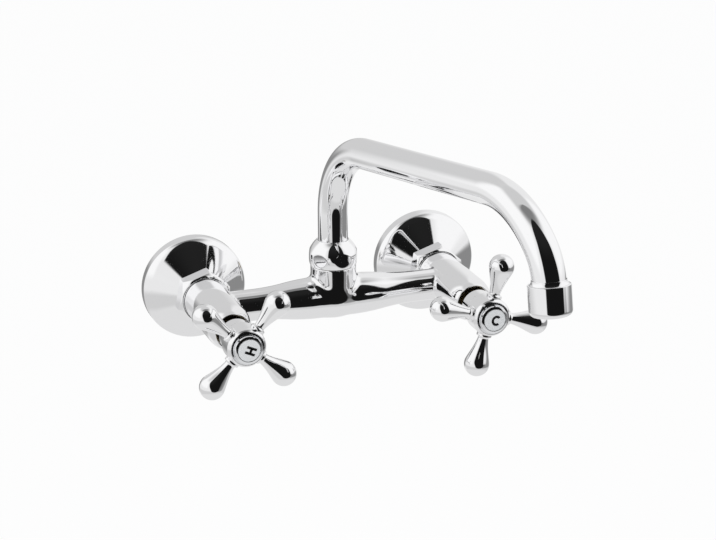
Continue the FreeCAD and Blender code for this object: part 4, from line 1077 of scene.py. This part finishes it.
def leverTree():
    # stands copies of one lever round the hub
    tree, given = groupTree("leversRound", {"Lever": "Geometry", "Count": "Int", "Plating": "Material"}, "Levers")
    spots = addNode(tree, "GeometryNodePoints", links={"Count": given["Count"]})
    number = addNode(tree, "GeometryNodeInputIndex")
    step = addNode(tree, "ShaderNodeMath", {"operation": "DIVIDE", 0: math.tau}, {1: given["Count"]})
    turn = addNode(tree, "ShaderNodeMath", {"operation": "MULTIPLY"}, {0: number.outputs[0], 1: step.outputs[0]})
    turned = addNode(tree, "ShaderNodeCombineXYZ", links={"Z": turn.outputs[0]})
    copies = addNode(
        tree,
        "GeometryNodeInstanceOnPoints",
        links={"Points": spots.outputs[0], "Instance": given["Lever"], "Rotation": turned.outputs[0]},
    )
    return plateTree(tree, copies, given["Plating"], "Levers")


def buildHandle(side, tree, f=handle):
    place = handlePlace(side)
    hub = [(0, f["webStart"]), (f["skirtBore"], f["webStart"]), (f["skirtBore"], f["skirtStart"])]
    edge = f["edge"]
    hub += bowed((f["skirt"] - edge, f["skirtStart"]), (f["skirt"], f["skirtStart"] + edge), edge, 4)
    hub += [(f["skirt"], f["hubStart"] - 0.4)]
    hub += bowed(hub[-1], (f["skirt"] + 0.3, f["hubStart"] + 0.3), -1.2, 4)
    hub += [(f["hub"] - 0.25, f["hubFull"] - 0.35)]
    hub += bowed(hub[-1], (f["hub"], f["hubFull"] + 0.4), 1.4, 5)
    hub += [(f["hub"], f["hubShoulder"][1] - 1.0)]
    hub += bowed(hub[-1], f["hubShoulder"], 1.9, 6)
    hub += bowed(hub[-1], (f["hubFace"], f["hubEnd"]), f["faceCurve"], 8)
    hub += [(f["button"], f["hubEnd"] - 0.1), (f["button"], f["webEnd"]), (0, f["webEnd"])]
    rider = f"{side}_handle"
    solid(f"{side}HandleHub", [lathe(hub, place, 128, closed=False)], "chrome_casting", rider, [])
    along = Matrix.Translation((0, 0, f["leverPlane"] * mm)) @ Matrix.Rotation(math.pi / 2, 4, "Y")
    lever = cleanMesh("lever", [lathe(leverOutline(), along, 72, closed=False)])
    inputs = {"Count": f["levers"], "Plating": finishes["chrome_casting"]}
    levers = runTree(f"{side}HandleLevers", tree, lever, inputs)
    levers.data.transform(place)
    finishPiece(levers, "chrome_casting", rider, [f"{side}_cross_handle"])


def buildBonnet(side, f=bonnet):
    neck = [(f["bore"], f["start"]), (f["hexRadius"], f["start"]), (f["hexRadius"], f["start"] + 1.2)]
    neck += [(f["neck"] + 0.8, f["start"] + 1.2), (f["neck"] + 0.8, f["hexEnd"]), (f["neck"], f["hexEnd"])]
    neck += [(f["neck"], f["neckEnd"] - 0.4), (f["neck"] - 0.4, f["neckEnd"]), (f["bore"], f["neckEnd"])]
    return lathe(neck, barrelPlace(side), 96)


cap = {
    "foot": 9.79,
    "start": 115.4,
    "step": 120.25,
    "stepRise": 0.16,
    "bezel": 8.75,
    "radius": 8.35,
    "bevelStart": 122.9,
    "end": 123.45,
    "pocket": 6.72,
    "floor": 122.6,
    "wall": 1.3,
    "disc": 6.55,
    "discEnd": 123.3,
    "edge": 0.12,
    "stepEdge": 0.06,
    "stepRows": (0, 0.05, 0.5, 0.95, 1),  # rows near both edges keep the narrow ring's shading level
    "sideCurve": 12.0,
    "bevelCurve": 8.0,
}

letters = {
    "height": 6.2,
    "width": 3.3,
    "stroke": 1.5,
    "ringRadius": 2.3,
    "ringGap": 46.0,
    "proud": 0.06,
    "sunk": 0.05,
    "aside": (0.9, -0.35),
    "hotTurn": 66.0,
    "coldTurn": -10.0,
}


def strokeShell(points, width, low, high):
    # a flat stroke along a line of points, as a closed slab
    count = len(points)
    left, right = [], []
    for k, point in enumerate(points):
        before, after = points[max(0, k - 1)], points[min(count - 1, k + 1)]
        way = (Vector(after) - Vector(before)).normalized()
        side = Vector((-way.y, way.x)) * width / 2
        left.append(Vector(point) + side)
        right.append(Vector(point) - side)
    loop = left + right[::-1]
    verts = [(p.x, p.y, low) for p in loop] + [(p.x, p.y, high) for p in loop]
    size = len(loop)
    faces = []
    for k in range(count - 1):
        faces.append((k, k + 1, size - 2 - k, size - 1 - k))
        faces.append((size + size - 1 - k, size + size - 2 - k, size + k + 1, size + k))
    for k in range(size):
        faces.append((k, (k + 1) % size, size + (k + 1) % size, size + k))
    return verts, faces


def letterShells(side, f=letters, c=cap):
    low, high = c["discEnd"] - f["sunk"], c["discEnd"] + f["proud"]
    if side == "hot":
        half, across = f["height"] / 2, f["width"] / 2
        lines = [[(-across, -half), (-across, half)], [(across, -half), (across, half)], [(-across, 0), (across, 0)]]
    else:
        r, gap = f["ringRadius"], math.radians(f["ringGap"])
        count = 28
        turns = [gap + (math.tau - 2 * gap) * k / count for k in range(count + 1)]
        lines = [[(r * math.cos(t), r * 1.06 * math.sin(t)) for t in turns]]
    place = barrelPlace(side) @ Matrix.Translation((f["aside"][0] * mm, f["aside"][1] * mm, 0))
    place @= Matrix.Rotation(math.radians(f[side + "Turn"]), 4, "Z")
    shells = []
    for line in lines:
        verts, faces = strokeShell(line, f["stroke"], low, high)
        shells.append(([place @ (Vector(v) * mm) for v in verts], faces))
    return shells


def buildButton(side, f=cap):
    place = handlePlace(side)
    outline = [(0, f["floor"] - f["wall"]), (f["radius"] - f["wall"], f["floor"] - f["wall"])]
    stepAt = (f["foot"], f["step"] - f["stepEdge"])
    outline += [(f["radius"] - f["wall"], f["start"]), (f["foot"], f["start"]), stepAt]
    outside = f["foot"] - f["stepEdge"]
    width = outside - f["bezel"]
    outline += [(outside - width * t, f["step"] + f["stepRise"] * t) for t in f["stepRows"]]
    outline += [(f["bezel"] - 0.02, f["step"] + f["stepRise"] + 0.05)]
    outline += bowed(outline[-1], (f["radius"], f["bevelStart"] - f["edge"]), f["sideCurve"], 8)
    outline += bowed(outline[-1], (f["radius"] - f["edge"], f["bevelStart"]), 0.2, 4)
    outline += bowed(outline[-1], (f["pocket"] + 0.08, f["end"] - 0.08), f["bevelCurve"], 8)
    outline += [(f["pocket"], f["end"] - 0.16), (f["pocket"], f["floor"]), (0, f["floor"])]
    rider = f"{side}_handle"
    ring = lathe(outline, place, 112, closed=False)
    solid(f"{side}IndexRing", [ring], "chrome_plastic", rider, [f"{side}_index_cap"])
    disc = [(0, f["floor"]), (f["disc"], f["floor"]), (f["disc"], f["discEnd"] - f["edge"])]
    disc += [(f["disc"] - f["edge"], f["discEnd"]), (0, f["discEnd"])]
    face = lathe(disc, place, 112, closed=False)
    solid(f"{side}IndexFace", [face], "index_plastic", rider, [f"{side}_index_disc"])
    mesh = cleanMesh(f"{side}Letter", letterShells(side))
    mesh.materials.append(letterInk)
    letter = addBody(f"{side}Letter", mesh)
    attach(letter, f"{side}_handle")


buildCasting()
print("casting ready")
levers = leverTree()
for side in ("hot", "cold"):
    buildFlange(side)
    buildUnionNut(side)
    solid(f"{side}Bonnet", [buildBonnet(side)], "plain_brass", "tap_body", [f"{side}_bonnet"])
    buildHandle(side, levers)
    buildButton(side)
    print(side, "side ready")
buildCollarNut()
buildTube()
buildOutlet()
print("spout ready")
